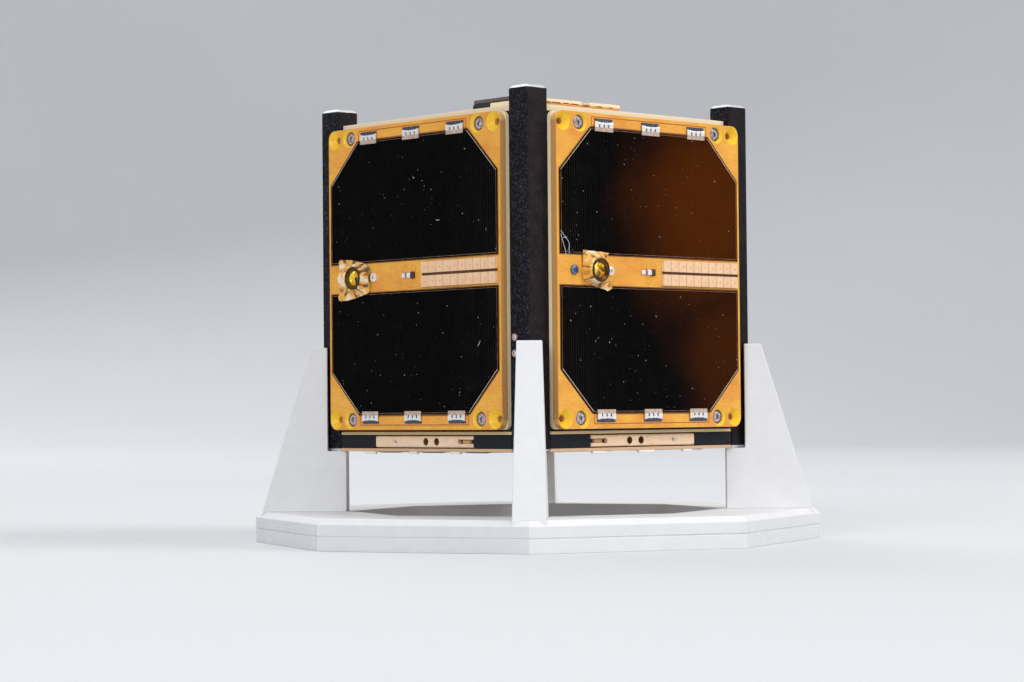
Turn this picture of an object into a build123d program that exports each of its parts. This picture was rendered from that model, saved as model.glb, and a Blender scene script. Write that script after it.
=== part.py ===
# One-unit cube satellite on its white printed display stand.
# The satellite's vertical axis is the Z axis and the floor is Z = 0.
# The corner between the X- and Y- faces is the front corner.
# Heights on the satellite are above the rails' lower ends, depths are outward from the rails' faces.
import os
from math import sqrt

from build123d import *

# Overall sizes of the satellite
body_width = 100.0
rail_length = 113.5
rail_side = 8.5
rail_chamfer = 0.9

# Boards across the satellite
bottom_board_thick = 1.0
module_board_thick = 1.0
module_recess = 0.3
top_board_thick = 2.2
top_board_drop = 7.8
top_board_recess = 2.0
board_notch_gap = 0.3

# Side panels
panel_low_gap = 0.6
panel_high_gap = 0.1
panel_overlap = 0.1
board_thick = 1.4
face_thick = 2.5
board_corner = 2.0
face_corner = 3.0

# Solar cells: margins are from the panel's edges to the cells
cell_side_margin = 1.15
cell_low_margin = 4.9
cell_high_margin = 4.5
cell_crop = 13.6
cell_thick = 0.3
strip_tall = 9.8
strip_rise = 0.1
top_cell_edge = 9.4
top_cell_gap = 1.6
bottom_cell_edge = 5.3
bottom_cell_gap = 9.8

# Cell tabs: the outer ones stand in from the cell's sides
tab_width = 8.0
tab_inset = 19.45
tab_length = 4.0
tab_overlap = 1.1
tab_thick = 0.2
tab_clear = 0.2

# Panel screws and the empty holes beside them, measured in from the panel's edges
screw_inset = 10.45
hole_inset = 3.1
screw_low_margin = 3.3
screw_high_margin = 3.15
countersink = 6.0
hole_bore = 2.2
head_width = 4.3
head_clear = 0.2
head_thick = 1.3
head_sunk = 1.0
socket_width = 1.5
socket_depth = 0.7
shank_width = 1.9
shank_length = 5.0
small_head = 3.0
small_head_thick = 0.8
small_shank_width = 1.7
small_shank_end = 0.4
small_socket_depth = 0.35
small_screw_insets = (7.2, 22.9)

# Middle strip of each panel
sensor_inset = 15.7
sensor_width = 7.5
sensor_tall = 3.2
sensor_window = 4.8
sensor_rim = 0.65
sensor_window_depth = 1.3
contact_left = 4.9
contact_inset = 1.5
contact_tall = 8.1
contact_gap = 0.85
contact_raise = 0.8
chip_gap = 3.5
chip_width = 6.0
chip_tall = 2.2
chip_thick = 0.8

# Frame bars between the rails
bar_depth = 5.0
bar_height = 7.0
tapped_bore = 2.0

# Connector and contact strips on the top board: spans are from the rail's inner face
edge_recess = 1.0
top_strip_spans = ((0.5, 18.2), (21.8, 35.2))
top_strip_depth = 4.0
top_strip_tall = 2.1
top_strip_base = 0.9
side_strip_span = (0.5, 11.7)
side_strip_depth = 1.2
side_strip_tall = 1.4
connector_span = (0.5, 21.0)
connector_depth = 2.0
connector_tall = 1.9
shell_tall = 1.3
shell_depth = 1.6

# Antenna doors
door_length = 47.2
door_height = 3.7
door_thick = 1.6
door_clear = 0.35
door_edge = 0.3
door_end_flat = 0.2
door_gap = 0.3
door_holes = (-6.6, -1.4)
door_hole_width = 2.4
tie_hole_place = 13.1
tie_hole_width = 0.9
slot_length = 6.1
slot_height = 1.4
slot_eye = 1.9
hinge_inset = 0.8
hinge_pin = 0.7
pin_gap = 0.05
tongue_gap = 0.12
tongue_slim = 0.6
tongue_root = 0.5

# Coiled antenna tapes behind the doors
pocket_width = 40.0
pocket_depth = 18.0
tape_thick = 0.2
tape_clear = 0.45
tape_pitch = 0.7
tape_inner = 3.5
tape_half_turns = 9
tape_bend = 5.0
coil_inset = 9.8

# Electronics and battery stack inside, on its spacers
stack_side_gap = 0.5
stack_low_gap = 2.6
stack_high_gap = 1.7
spacer_width = 6.0
spacer_insets = (8.0, 5.0)

# Two small round contacts on the front rail
contact_pin_heights = (30.5, 35.5)
contact_pin_width = 2.6
contact_pin_raise = 0.5
contact_pin_inset = 2.1

# Stand: the posts' reaches are from the satellite's corner along the diagonal. The inner reach is the
# ledge under the rail's end, and the cheek reach is beside the rail, above the ledge.
stand_lift = 30.0
ring_height = 10.0
ring_outer_rim = 2.8
ring_inner_rim = 0.8
ring_chamfer = 1.8
groove_height = 4.5
groove_width = 0.4
post_top = 34.3
post_top_reach = 3.9
post_foot_reach = 20.2
post_inner_reach = 7.9
post_cheek_reach = 1.7
post_top_width = 7.85
post_foot_width = 10.5
post_gap = 0.2

# How far a cut runs past the face it opens
cut_over = 0.1

half_body = body_width / 2
rail_inner = half_body - rail_side
module_low = bottom_board_thick
module_high = module_low + door_height + 2 * door_clear
module_top = module_high + module_board_thick
top_board_low = rail_length - top_board_drop
top_board_high = top_board_low + top_board_thick

panel_half = rail_inner + panel_overlap
panel_low = module_top + panel_low_gap
panel_high = top_board_low - panel_high_gap
panel_mid = (panel_low + panel_high) / 2
strip_mid = panel_mid + strip_rise
face_out = board_thick + face_thick
cell_out = face_out + cell_thick
cell_half = panel_half - cell_side_margin
upper_cell = (strip_mid + strip_tall / 2, panel_high - cell_high_margin)
lower_cell = (panel_low + cell_low_margin, strip_mid - strip_tall / 2)
tab_places = (tab_inset - cell_half, 0, cell_half - tab_inset)
screw_low = panel_low + screw_low_margin
screw_high = panel_high - screw_high_margin
sensor_place = sensor_inset - panel_half
contact_right = panel_half - contact_inset
corner_reach = half_body * sqrt(2)

os.makedirs("parts", exist_ok=True)

# How far each side is turned about Z from the Y- side, and which way its door is handed
sides = {"yminus": (0, 1), "xminus": (-90, -1), "yplus": (180, 1), "xplus": (90, -1)}
# Signs of X and Y at each corner, and its turn about Z from the back corner
corners = {"front": (-1, -1, 180), "left": (-1, 1, 90), "right": (1, -1, 270), "back": (1, 1, 0)}


def write(name, solids):
    shape = solids[0] if len(solids) == 1 else Compound(children=solids)
    export_step(shape, os.path.join("parts", name + ".step"))


def lift(shape):
    return Pos(0, 0, stand_lift) * shape


def turned(shape, angle):
    return Rot(0, 0, angle) * shape


def on_each_side(shape):
    return [lift(turned(shape, angle)) for angle, hand in sides.values()]


def face_plane(out):
    # Plane parallel to the Y- side, facing outward
    return Plane(origin=(0, -(half_body + out), 0), x_dir=(1, 0, 0), z_dir=(0, -1, 0))


def slab(left, right, inner, outer, low, high):
    # Box on the Y- side, given by its span across, outward and up
    middle = Pos((left + right) / 2, -(half_body + (inner + outer) / 2), (low + high) / 2)
    return middle * Box(right - left, outer - inner, high - low)


def peg(across, up, inner, outer, width, outer_width=None):
    # Round piece that points outward on the Y- side
    length = outer - inner
    place = face_plane((inner + outer) / 2) * Pos(across, up, 0)
    if outer_width is None:
        return place * Cylinder(width / 2, length)
    return place * Cone(width / 2, outer_width / 2, length)


def hexagon_socket(across, up, top, depth):
    outline = face_plane(top - depth) * Pos(across, up) * RegularPolygon(socket_width / 2, 6)
    return extrude(outline, amount=depth)


def four_places(inset):
    # Places near the panel's corners, this far in from its two sides
    across = panel_half - inset
    return [(sign * across, up) for sign in (-1, 1) for up in (screw_low, screw_high)]


# Rails and the bars between them

def rail():
    bar = Pos(0, 0, rail_length / 2) * Box(rail_side, rail_side, rail_length)
    ends = bar.faces().sort_by(Axis.Z)
    return chamfer(ends[0].edges() + ends[-1].edges(), rail_chamfer)


def write_rails():
    centre = half_body - rail_side / 2
    for corner, (x_sign, y_sign, angle) in corners.items():
        write("rail_" + corner, [lift(Pos(x_sign * centre, y_sign * centre, 0) * rail())])


def frame_bars(low, screw_height):
    # Four bars between the rails, tapped for the panel screws
    bar = slab(-rail_inner, rail_inner, -bar_depth, 0, low, low + bar_height)
    for across, up in four_places(hole_inset) + four_places(screw_inset):
        if up == screw_height:
            bar -= peg(across, up, -bar_depth, 0, tapped_bore)
    return on_each_side(bar)


# Side panels

def screw_seat(across, up):
    # Cone at the surface, bore for the head, and the shank's hole
    bore = head_width + head_clear
    cone_deep = (countersink - bore) / 2
    seat = peg(across, up, face_out - cone_deep, face_out, bore, countersink)
    seat += peg(across, up, face_out - head_sunk - head_thick, face_out - cone_deep, bore)
    return seat + peg(across, up, 0, face_out, hole_bore)


def hole_seat(across, up):
    cone_deep = (countersink - hole_bore) / 2
    seat = peg(across, up, face_out - cone_deep, face_out, hole_bore, countersink)
    return seat + peg(across, up, 0, face_out, hole_bore)


def small_screw_places():
    return [inset - panel_half for inset in small_screw_insets]


def panel_layer(corner, inner, thick):
    outline = Pos(0, panel_mid) * RectangleRounded(2 * panel_half, panel_high - panel_low, corner)
    layer = extrude(face_plane(inner) * outline, amount=thick)
    for across, up in four_places(screw_inset):
        layer -= screw_seat(across, up)
    for across, up in four_places(hole_inset):
        layer -= hole_seat(across, up)
    for across in small_screw_places():
        layer -= peg(across, strip_mid, 0, face_out, shank_width)
    return layer


def cell(low, high, cropped_high):
    # A cell has its two corners cropped on the side that faces the panel's end
    edges = [(-cell_half, low), (cell_half, low), (cell_half, high - cell_crop),
             (cell_half - cell_crop, high), (cell_crop - cell_half, high), (-cell_half, high - cell_crop)]
    outline = make_face(Polyline(*edges, close=True))
    if cropped_high:
        return outline
    middle = (low + high) / 2
    return Pos(0, middle) * Rot(0, 0, 180) * Pos(0, -middle) * outline


def panel_cells():
    upper = extrude(face_plane(face_out) * cell(*upper_cell, True), amount=cell_thick)
    lower = extrude(face_plane(face_out) * cell(*lower_cell, False), amount=cell_thick)
    return [upper, lower]


def tab(across, edge, way):
    # Bridge from the panel's surface onto the cell's edge; way is +1 above the cell
    left = across - tab_width / 2
    right = across + tab_width / 2
    inside = edge - way * tab_overlap
    outside = inside + way * tab_length
    foot = edge + way * tab_clear
    bridge = slab(left, right, cell_out, cell_out + tab_thick, min(inside, outside), max(inside, outside))
    seat = slab(left, right, face_out, cell_out, min(foot, outside), max(foot, outside))
    return bridge + seat


def panel_tabs():
    tabs = [tab(across, upper_cell[1], 1) for across in tab_places]
    return tabs + [tab(across, lower_cell[0], -1) for across in tab_places]


def corner_screw(across, up):
    top = face_out - head_sunk
    screw = peg(across, up, top - head_thick, top, head_width)
    screw += peg(across, up, top - head_thick - shank_length, top, shank_width)
    return screw - hexagon_socket(across, up, top, socket_depth)


def small_screw(across):
    top = face_out + small_head_thick
    screw = peg(across, strip_mid, face_out, top, small_head)
    screw += peg(across, strip_mid, small_shank_end, face_out, small_shank_width)
    return screw - hexagon_socket(across, strip_mid, top, small_socket_depth)


def panel_screws():
    screws = [corner_screw(across, up) for across, up in four_places(screw_inset)]
    return screws + [small_screw(across) for across in small_screw_places()]


def sun_sensor():
    rim = face_out + sensor_tall
    body = peg(sensor_place, strip_mid, face_out, rim, sensor_width)
    mouth = sensor_width - 2 * sensor_rim
    return body - peg(sensor_place, strip_mid, rim - sensor_window_depth, rim, sensor_window, mouth)


def contact_block():
    # Two rows of pads' bases, one above the other
    rows = []
    for sign in (-1, 1):
        ends = (strip_mid + sign * contact_gap / 2, strip_mid + sign * contact_tall / 2)
        rows.append(slab(contact_left, contact_right, face_out, face_out + contact_raise,
                         min(ends), max(ends)))
    return rows


def strip_chip():
    right = contact_left - chip_gap
    return slab(right - chip_width, right, face_out, face_out + chip_thick,
                strip_mid - chip_tall / 2, strip_mid + chip_tall / 2)


def write_panels():
    board = panel_layer(board_corner, 0, board_thick)
    face = panel_layer(face_corner, board_thick, face_thick)
    groups = {"solar_board": [board], "solar_face": [face], "solar_cells": panel_cells(),
              "cell_tabs": panel_tabs(), "panel_screws": panel_screws(),
              "sun_sensor": [sun_sensor()], "contact_block": contact_block()}
    for side, (angle, hand) in sides.items():
        for name, solids in groups.items():
            write(name + "_" + side, [lift(turned(solid, angle)) for solid in solids])
    write("strip_chips", on_each_side(strip_chip()))


# Level boards, notched around the rails

def notched_board(recess, low, thick):
    reach = half_body - recess
    notch = rail_inner - board_notch_gap
    wide = Box(2 * reach, 2 * notch, thick)
    deep = Box(2 * notch, 2 * reach, thick)
    return Pos(0, 0, low + thick / 2) * (wide + deep)


def flat_cells(gap, edge, surface, way):
    # Two cells side by side along X on a level board; way is +1 on its top, -1 underneath
    cells = []
    outline = cell(gap / 2, half_body - edge, True)
    low = surface if way > 0 else surface - cell_thick
    for angle in (-90, 90):
        cells.append(lift(turned(Pos(0, 0, low) * extrude(outline, amount=cell_thick), angle)))
    return cells


def flat_tabs(edge, surface, way):
    cell_edge = half_body - edge
    inside = cell_edge - tab_overlap
    outside = inside + tab_length
    foot = cell_edge + tab_clear
    tabs = []
    for angle in (0, 180):
        for across in tab_places:
            bridge = Pos((inside + outside) / 2, 0, way * (cell_thick + tab_thick / 2))
            seat = Pos((foot + outside) / 2, 0, way * cell_thick / 2)
            piece = bridge * Box(tab_length, tab_width, tab_thick)
            piece += seat * Box(outside - foot, tab_width, cell_thick)
            tabs.append(lift(turned(Pos(0, across, surface) * piece, angle)))
    return tabs


def edge_strip(span, outer, depth, tall):
    # Strip that lies on the top board along the Y- edge, measured from the left rail
    left, right = span
    return slab(left - rail_inner, right - rail_inner, outer - depth, outer, top_board_high,
                top_board_high + tall)


def edge_strip_at_left(span, outer, depth, low, tall):
    # The same along the X- edge, measured from the front rail
    left, right = span
    piece = slab(rail_inner - right, rail_inner - left, outer - depth, outer, low, low + tall)
    return turned(piece, -90)


def write_top():
    write("top_board", [lift(notched_board(top_board_recess, top_board_low, top_board_thick))])
    outer = -top_board_recess - edge_recess
    # One base under both raised strips
    long_span = (top_strip_spans[0][0], top_strip_spans[-1][1])
    long_strip = edge_strip(long_span, outer, top_strip_depth, top_strip_base)
    for span in top_strip_spans:
        long_strip += edge_strip(span, outer, top_strip_depth, top_strip_tall)
    strips = [long_strip]
    strips.append(edge_strip_at_left(side_strip_span, outer, side_strip_depth, top_board_high, side_strip_tall))
    write("top_contact_strips", [lift(strip) for strip in strips])
    behind = outer - side_strip_depth
    connector = edge_strip_at_left(connector_span, behind, connector_depth, top_board_high, connector_tall)
    shell_outer = behind - connector_depth + shell_depth
    shell = edge_strip_at_left(connector_span, shell_outer, shell_depth, top_board_high + connector_tall,
                               shell_tall)
    write("top_connector", [lift(connector)])
    write("top_connector_shell", [lift(shell)])
    write("top_cells", flat_cells(top_cell_gap, top_cell_edge, top_board_high, 1))
    write("top_tabs", flat_tabs(top_cell_edge, top_board_high, 1))


def write_bottom():
    write("bottom_board", [lift(notched_board(module_recess, 0, bottom_board_thick))])
    write("bottom_cells", flat_cells(bottom_cell_gap, bottom_cell_edge, 0, -1))
    write("bottom_tabs", flat_tabs(bottom_cell_edge, 0, -1))


# Antenna module: notched board, black frame with four pockets, doors on pins, coiled tapes

door_mid = module_low + door_clear + door_height / 2
pin_across = -door_length / 2 + hinge_inset
pin_out = -door_thick / 2


def handed(shape, hand):
    return shape if hand > 0 else mirror(shape, about=Plane.YZ)


def upright(width, tall):
    # Round piece on the door's hinge axis
    return Pos(pin_across, -(half_body + pin_out), door_mid) * Cylinder(width / 2, tall)


def antenna_pocket():
    # Recess for the door, and the deeper pocket for the coil
    low = module_low - cut_over
    high = module_high + cut_over
    half = door_length / 2 + door_gap
    recess = slab(-half, half, -door_thick - door_gap, cut_over, low, high)
    return recess + slab(-pocket_width / 2, pocket_width / 2, -pocket_depth, 0, low, high)


def hinge_tongue():
    # Lug in the door's open slot, bored for the pin
    tall = slot_height - 2 * tongue_gap
    thick = door_thick - tongue_slim
    root = -door_length / 2 - door_gap - tongue_root
    lug = slab(root, pin_across, pin_out - thick / 2, pin_out + thick / 2, door_mid - tall / 2,
               door_mid + tall / 2)
    return lug + upright(thick, tall) - upright(hinge_pin, tall)


def antenna_frame():
    frame = notched_board(module_recess, module_low, module_high - module_low)
    for angle, hand in sides.values():
        frame -= turned(antenna_pocket(), angle)
    for angle, hand in sides.values():
        frame += turned(handed(hinge_tongue(), hand), angle)
    return frame


def antenna_door():
    half = door_length / 2
    outline = Pos(0, door_mid) * RectangleRounded(door_length, door_height, door_edge)
    door = extrude(face_plane(-door_thick) * outline, amount=door_thick)
    hinge_end = [edge for edge in door.edges().filter_by(Axis.Z) if edge.center().X < 0]
    door = fillet(hinge_end, (door_thick - door_end_flat) / 2)
    door -= slab(-half - cut_over, slot_length - half, -door_thick, 0, door_mid - slot_height / 2,
                 door_mid + slot_height / 2)
    door -= peg(slot_length - half, door_mid, -door_thick, 0, slot_eye)
    for across in door_holes:
        door -= peg(across, door_mid, -door_thick, 0, door_hole_width)
    door -= peg(tie_hole_place, door_mid, -door_thick, 0, tie_hole_width)
    return door - upright(hinge_pin + 2 * pin_gap, door_height)


def coiled_tape():
    # Flat spiral of half circles, then a bend and a straight lead to the pocket's end wall
    half = tape_thick / 2
    inner_side = []
    outer_side = []
    radius = tape_inner
    for turn in range(tape_half_turns):
        centre = (turn % 2 * tape_pitch / 2, 0)
        start = turn % 2 * 180
        inner_side.append(CenterArc(centre, radius - half, start, 180))
        outer_side.append(CenterArc(centre, radius + half, start, 180))
        last_radius = radius
        radius += tape_pitch / 2
    bend = (-last_radius - tape_bend, 0)
    inner_side.append(CenterArc(bend, tape_bend + half, 0, -90))
    outer_side.append(CenterArc(bend, tape_bend - half, 0, -90))
    wall = -pocket_width / 2
    inner_side.append(Line(inner_side[-1] @ 1, (wall, -tape_bend - half)))
    outer_side.append(Line(outer_side[-1] @ 1, (wall, -tape_bend + half)))
    ends = [Line(inner_side[0] @ 0, outer_side[0] @ 0), Line(inner_side[-1] @ 1, outer_side[-1] @ 1)]
    spiral = make_face(inner_side + outer_side + ends)
    place = Pos(0, -(half_body - coil_inset), module_low + tape_clear)
    return extrude(place * spiral, amount=module_high - module_low - 2 * tape_clear)


def write_antenna_module():
    write("module_board", [lift(notched_board(module_recess, module_high, module_board_thick))])
    write("antenna_frame", [lift(antenna_frame())])
    pin = upright(hinge_pin, door_height)
    tape = coiled_tape()
    door = antenna_door()
    write("hinge_pins", [lift(turned(handed(pin, hand), angle)) for angle, hand in sides.values()])
    write("antenna_tapes", [lift(turned(handed(tape, hand), angle)) for angle, hand in sides.values()])
    for side, (angle, hand) in sides.items():
        write("antenna_door_" + side, [lift(turned(handed(door, hand), angle))])


# Inside: one plain block for the boards and the battery, on eight spacers

def write_stack():
    half = rail_inner - stack_side_gap
    low = module_top + bar_height + stack_low_gap
    high = top_board_low - bar_height - stack_high_gap
    write("electronics_stack", [lift(Pos(0, 0, (low + high) / 2) * Box(2 * half, 2 * half, high - low))])
    across, along = [half - inset for inset in spacer_insets]
    spacers = []
    for foot, head in ((module_top, low), (high, top_board_low)):
        for x_sign in (-1, 1):
            for y_sign in (-1, 1):
                place = Pos(x_sign * across, y_sign * along, (foot + head) / 2)
                spacers.append(lift(place * Cylinder(spacer_width / 2, head - foot)))
    write("stack_spacers", spacers)


def write_contact_pins():
    across = rail_inner + contact_pin_inset
    pins = [peg(across, up, 0, contact_pin_raise, contact_pin_width) for up in contact_pin_heights]
    write("rail_contact_pins", [lift(turned(pin, -90)) for pin in pins])


# Stand: an octagonal ring with a corner under each post

def octagon_prism(vertex_radius, low, high):
    return extrude(Pos(0, 0, low) * RegularPolygon(vertex_radius, 8), amount=high - low)


def stand_ring():
    outer = corner_reach + post_foot_reach + ring_outer_rim
    inner = corner_reach - post_inner_reach - ring_inner_rim
    ring = octagon_prism(outer, 0, ring_height)
    top = ring.faces().sort_by(Axis.Z)[-1]
    ring = chamfer(top.edges(), ring_chamfer)
    ring -= octagon_prism(inner, 0, ring_height)
    low = groove_height - groove_width / 2
    high = groove_height + groove_width / 2
    groove = octagon_prism(outer + cut_over, low, high) - octagon_prism(outer - groove_width, low, high)
    return ring - groove


def stand_post(ring):
    # Fin in the plane of the diagonal, for the corner at X+ Y+; its foot sits on the ring's edge
    foot = ring_height - ring_chamfer
    top = stand_lift + post_top
    lean = (post_foot_reach - post_top_reach) / (top - ring_height)
    inside = corner_reach - post_inner_reach
    cheek = corner_reach - post_cheek_reach
    outline = [(inside, foot), (corner_reach + post_foot_reach + lean * ring_chamfer, foot),
               (corner_reach + post_top_reach, top), (cheek, top), (cheek, stand_lift), (inside, stand_lift)]
    fin = extrude(Plane.XZ * make_face(Polyline(*outline, close=True)), amount=post_foot_width, both=True)
    width = [(-post_foot_width / 2, foot), (post_foot_width / 2, foot),
             (post_top_width / 2, top), (-post_top_width / 2, top)]
    front_view = Plane.YZ * make_face(Polyline(*width, close=True))
    fin &= extrude(front_view, amount=corner_reach + 2 * post_foot_reach)
    reach = half_body + post_gap
    notch = Pos(reach / 2, reach / 2, stand_lift + post_top) * Box(reach, reach, 2 * post_top)
    return turned(fin, 45) - notch - ring


def write_stand():
    ring = stand_ring()
    write("stand_ring", [ring])
    post = stand_post(ring)
    for corner, (x_sign, y_sign, angle) in corners.items():
        write("stand_post_" + corner, [turned(post, angle)])


write_rails()
write("lower_frame_bars", frame_bars(module_top, screw_low))
write("upper_frame_bars", frame_bars(top_board_low - bar_height, screw_high))
write_panels()
write_top()
write_bottom()
write_antenna_module()
write_stack()
write_contact_pins()
write_stand()
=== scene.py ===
import math

import bmesh
import bpy
from mathutils import Matrix, Vector, noise


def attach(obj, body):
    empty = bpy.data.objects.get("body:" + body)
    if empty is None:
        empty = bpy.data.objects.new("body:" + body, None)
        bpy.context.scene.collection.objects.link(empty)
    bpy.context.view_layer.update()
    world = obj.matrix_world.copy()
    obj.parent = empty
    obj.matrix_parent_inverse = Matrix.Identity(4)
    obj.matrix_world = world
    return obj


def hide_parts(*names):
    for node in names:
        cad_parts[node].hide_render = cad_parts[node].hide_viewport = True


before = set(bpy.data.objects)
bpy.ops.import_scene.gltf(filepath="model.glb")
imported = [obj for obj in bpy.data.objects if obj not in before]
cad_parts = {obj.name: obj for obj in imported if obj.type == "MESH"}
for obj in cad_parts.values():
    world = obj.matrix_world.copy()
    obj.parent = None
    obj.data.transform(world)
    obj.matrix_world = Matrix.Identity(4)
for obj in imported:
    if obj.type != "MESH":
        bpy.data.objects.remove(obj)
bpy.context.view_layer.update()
mm = 0.001

mainBody = "satellite_and_stand"
halfBody = 50.0
stripMid = 86.4

cornerNames = ("front", "left", "right", "back")

# How far each side is turned about Z from the Y- side, and which way its door is handed
sideTurns = {"yminus": 0, "xminus": -90, "yplus": 180, "xplus": 90}
doorHands = {"yminus": 1, "xminus": -1, "yplus": 1, "xplus": -1}


def sidePlace(side):
    # A side is drawn flat in mm: X across, Y up from the floor, Z outward from the rails' face
    turn = Matrix.Rotation(math.radians(sideTurns[side]), 4, "Z")
    stand = Matrix.Rotation(math.radians(90), 4, "X")
    return turn @ Matrix.Translation((0, -halfBody * mm, 0)) @ stand @ Matrix.Scale(mm, 4)


# Place of what is drawn in mm from the middle of the floor
rowPlace = Matrix.Scale(mm, 4)

# A panel's fittings are drawn above a surface at 3.4, and lifted from there onto its face
drawnSurface = 3.4
panelFaceOut = 3.9


def fittingPlace(side):
    return sidePlace(side) @ Matrix.Translation((0, 0, panelFaceOut - drawnSurface))


# Shader building


def treeNode(tree, kind, inputs=None, **settings):
    # Inputs are values or the sockets they come from
    node = tree.nodes.new(kind)
    for setting, value in settings.items():
        setattr(node, setting, value)
    for socket, value in (inputs or {}).items():
        if isinstance(value, bpy.types.NodeSocket):
            tree.links.new(value, node.inputs[socket])
        else:
            node.inputs[socket].default_value = value
    return node


def shaderNode(tree, kind, inputs=None, **settings):
    return treeNode(tree, "ShaderNode" + kind, inputs, **settings)


def startMaterial(name, **constants):
    # Constants go straight onto the shader's sockets; "_" in a name stands for a space
    material = bpy.data.materials.new(name)
    material.use_nodes = True
    tree = material.node_tree
    shader = tree.nodes["Principled BSDF"]
    for socket, value in constants.items():
        shader.inputs[socket.replace("_", " ")].default_value = value
    where = shaderNode(tree, "TexCoord").outputs["Object"]
    return material, tree, shader, where


def grain(tree, where, size, detail=3.0, rough=0.55, stretch=None):
    # Noise with features of this size in mm; stretch squeezes it along X, Y or Z
    if stretch:
        where = shaderNode(tree, "Mapping", {"Vector": where, "Scale": stretch}).outputs[0]
    settings = {"Vector": where, "Scale": 1000 / size, "Detail": detail, "Roughness": rough}
    return shaderNode(tree, "TexNoise", settings).outputs["Fac"]


def spread(tree, value, lowIn, highIn, lowOut=0.0, highOut=1.0):
    inputs = {"Value": value, "From Min": lowIn, "From Max": highIn, "To Min": lowOut, "To Max": highOut}
    return shaderNode(tree, "MapRange", inputs).outputs[0]


def maths(tree, operation, first, second=0.0):
    return shaderNode(tree, "Math", {0: first, 1: second}, operation=operation).outputs[0]


def mixed(tree, factor, first, second):
    # Colours may be sockets or plain triples
    first, second = ((*tone, 1.0) if isinstance(tone, tuple) else tone for tone in (first, second))
    return shaderNode(tree, "Mix", {0: factor, 6: first, 7: second}, data_type="RGBA").outputs[2]


def tones(tree, value, dark, pale, low=0.3, high=0.7):
    # From dark to pale as the value goes from low to high
    return mixed(tree, spread(tree, value, low, high), dark, pale)


def waves(tree, value, pitch):
    # Even ripples, from -1 to 1, at this pitch in mm
    return maths(tree, "SINE", maths(tree, "MULTIPLY", value, 2 * math.pi / (pitch * mm)))


def wandering(tree, value, reach):
    # Noise about zero instead of a half
    return maths(tree, "MULTIPLY", maths(tree, "SUBTRACT", value, 0.5), reach)


def axes(tree, where):
    return shaderNode(tree, "SeparateXYZ", {0: where}).outputs


def paint(tree, shader, socket, value):
    tree.links.new(value, shader.inputs[socket])


def addBump(tree, shader, height, depth, strength=1.0):
    # Depth is in mm; further bumps build on the one that is there
    inputs = {"Height": height, "Distance": depth * mm, "Strength": strength}
    normal = shader.inputs["Normal"]
    if normal.is_linked:
        inputs["Normal"] = normal.links[0].from_socket
    paint(tree, shader, "Normal", shaderNode(tree, "Bump", inputs).outputs[0])


def outwardDistance(tree, where):
    # Distance from the middle of the satellite to its side, the same on all four sides
    x, y = axes(tree, where)[:2]
    return maths(tree, "MAXIMUM", maths(tree, "ABSOLUTE", x), maths(tree, "ABSOLUTE", y))


# Finishes

def amberFilmFinish():
    # Broad clouds from yellow to orange, short level streaks, and bright specks that are painted glints
    material, tree, shader, where = startMaterial("amberFilm", Specular_IOR_Level=0.42, Coat_Weight=0.12,
                                                  Coat_Roughness=0.22)
    cloudy = spread(tree, grain(tree, where, 14.0, 4.0, 0.55, (1.0, 1.0, 1.6)), 0.37, 0.63)
    base = mixed(tree, cloudy, (0.86, 0.330, 0.038), (1.0, 0.545, 0.058))
    patches = spread(tree, grain(tree, where, 3.6, 3.0), 0.35, 0.68, 0.0, 0.55)
    base = mixed(tree, patches, base, (0.98, 0.440, 0.068))
    weave = grain(tree, where, 0.55, 2.0)
    streaks = grain(tree, where, 2.6, 4.0, 0.65, (1.0, 1.0, 7.0))
    base = mixed(tree, spread(tree, streaks, 0.46, 0.72, 0.0, 0.55), base, (0.74, 0.27, 0.036))
    base = mixed(tree, spread(tree, weave, 0.40, 0.75, 0.0, 0.30), base, (0.80, 0.31, 0.038))
    # Painted glints: small bright specks in the film's colour
    paintedGlintSpecks = spread(tree, grain(tree, where, 0.9, 2.0), 0.68, 0.74, 0.0, 0.6)
    paint(tree, shader, "Base Color", mixed(tree, paintedGlintSpecks, base, (1.0, 0.70, 0.36)))
    paint(tree, shader, "Roughness", spread(tree, cloudy, 0.0, 1.0, 0.30, 0.44))
    addBump(tree, shader, grain(tree, where, 6.0, 3.0), 0.10, 0.6)
    addBump(tree, shader, weave, 0.02, 0.5)
    return material


def amberEdgeFinish():
    material, tree, shader, where = startMaterial("amberEdge", Specular_IOR_Level=0.35)
    layers = waves(tree, outwardDistance(tree, where), 0.47)
    base = tones(tree, layers, (0.44, 0.180, 0.045), (0.90, 0.50, 0.17), -1.0, 1.0)
    paint(tree, shader, "Base Color", mixed(tree, spread(tree, grain(tree, where, 0.8), 0.35, 0.7, 0.0, 0.5),
                                            base, (0.62, 0.30, 0.10)))
    paint(tree, shader, "Roughness", spread(tree, grain(tree, where, 0.5), 0.3, 0.7, 0.42, 0.62))
    addBump(tree, shader, layers, 0.02, 0.4)
    return material


def seatGoldFinish():
    # Countersinks: cut film that shines bright yellow
    material, tree, shader, where = startMaterial("seatGold", Specular_IOR_Level=0.4)
    turned = grain(tree, where, 0.5, 2.0)
    base = tones(tree, turned, (1.0, 0.55, 0.012), (1.0, 0.70, 0.050))
    paint(tree, shader, "Base Color", base)
    paint(tree, shader, "Roughness", spread(tree, turned, 0.3, 0.7, 0.22, 0.38))
    addBump(tree, shader, turned, 0.015, 0.5)
    return material


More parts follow.
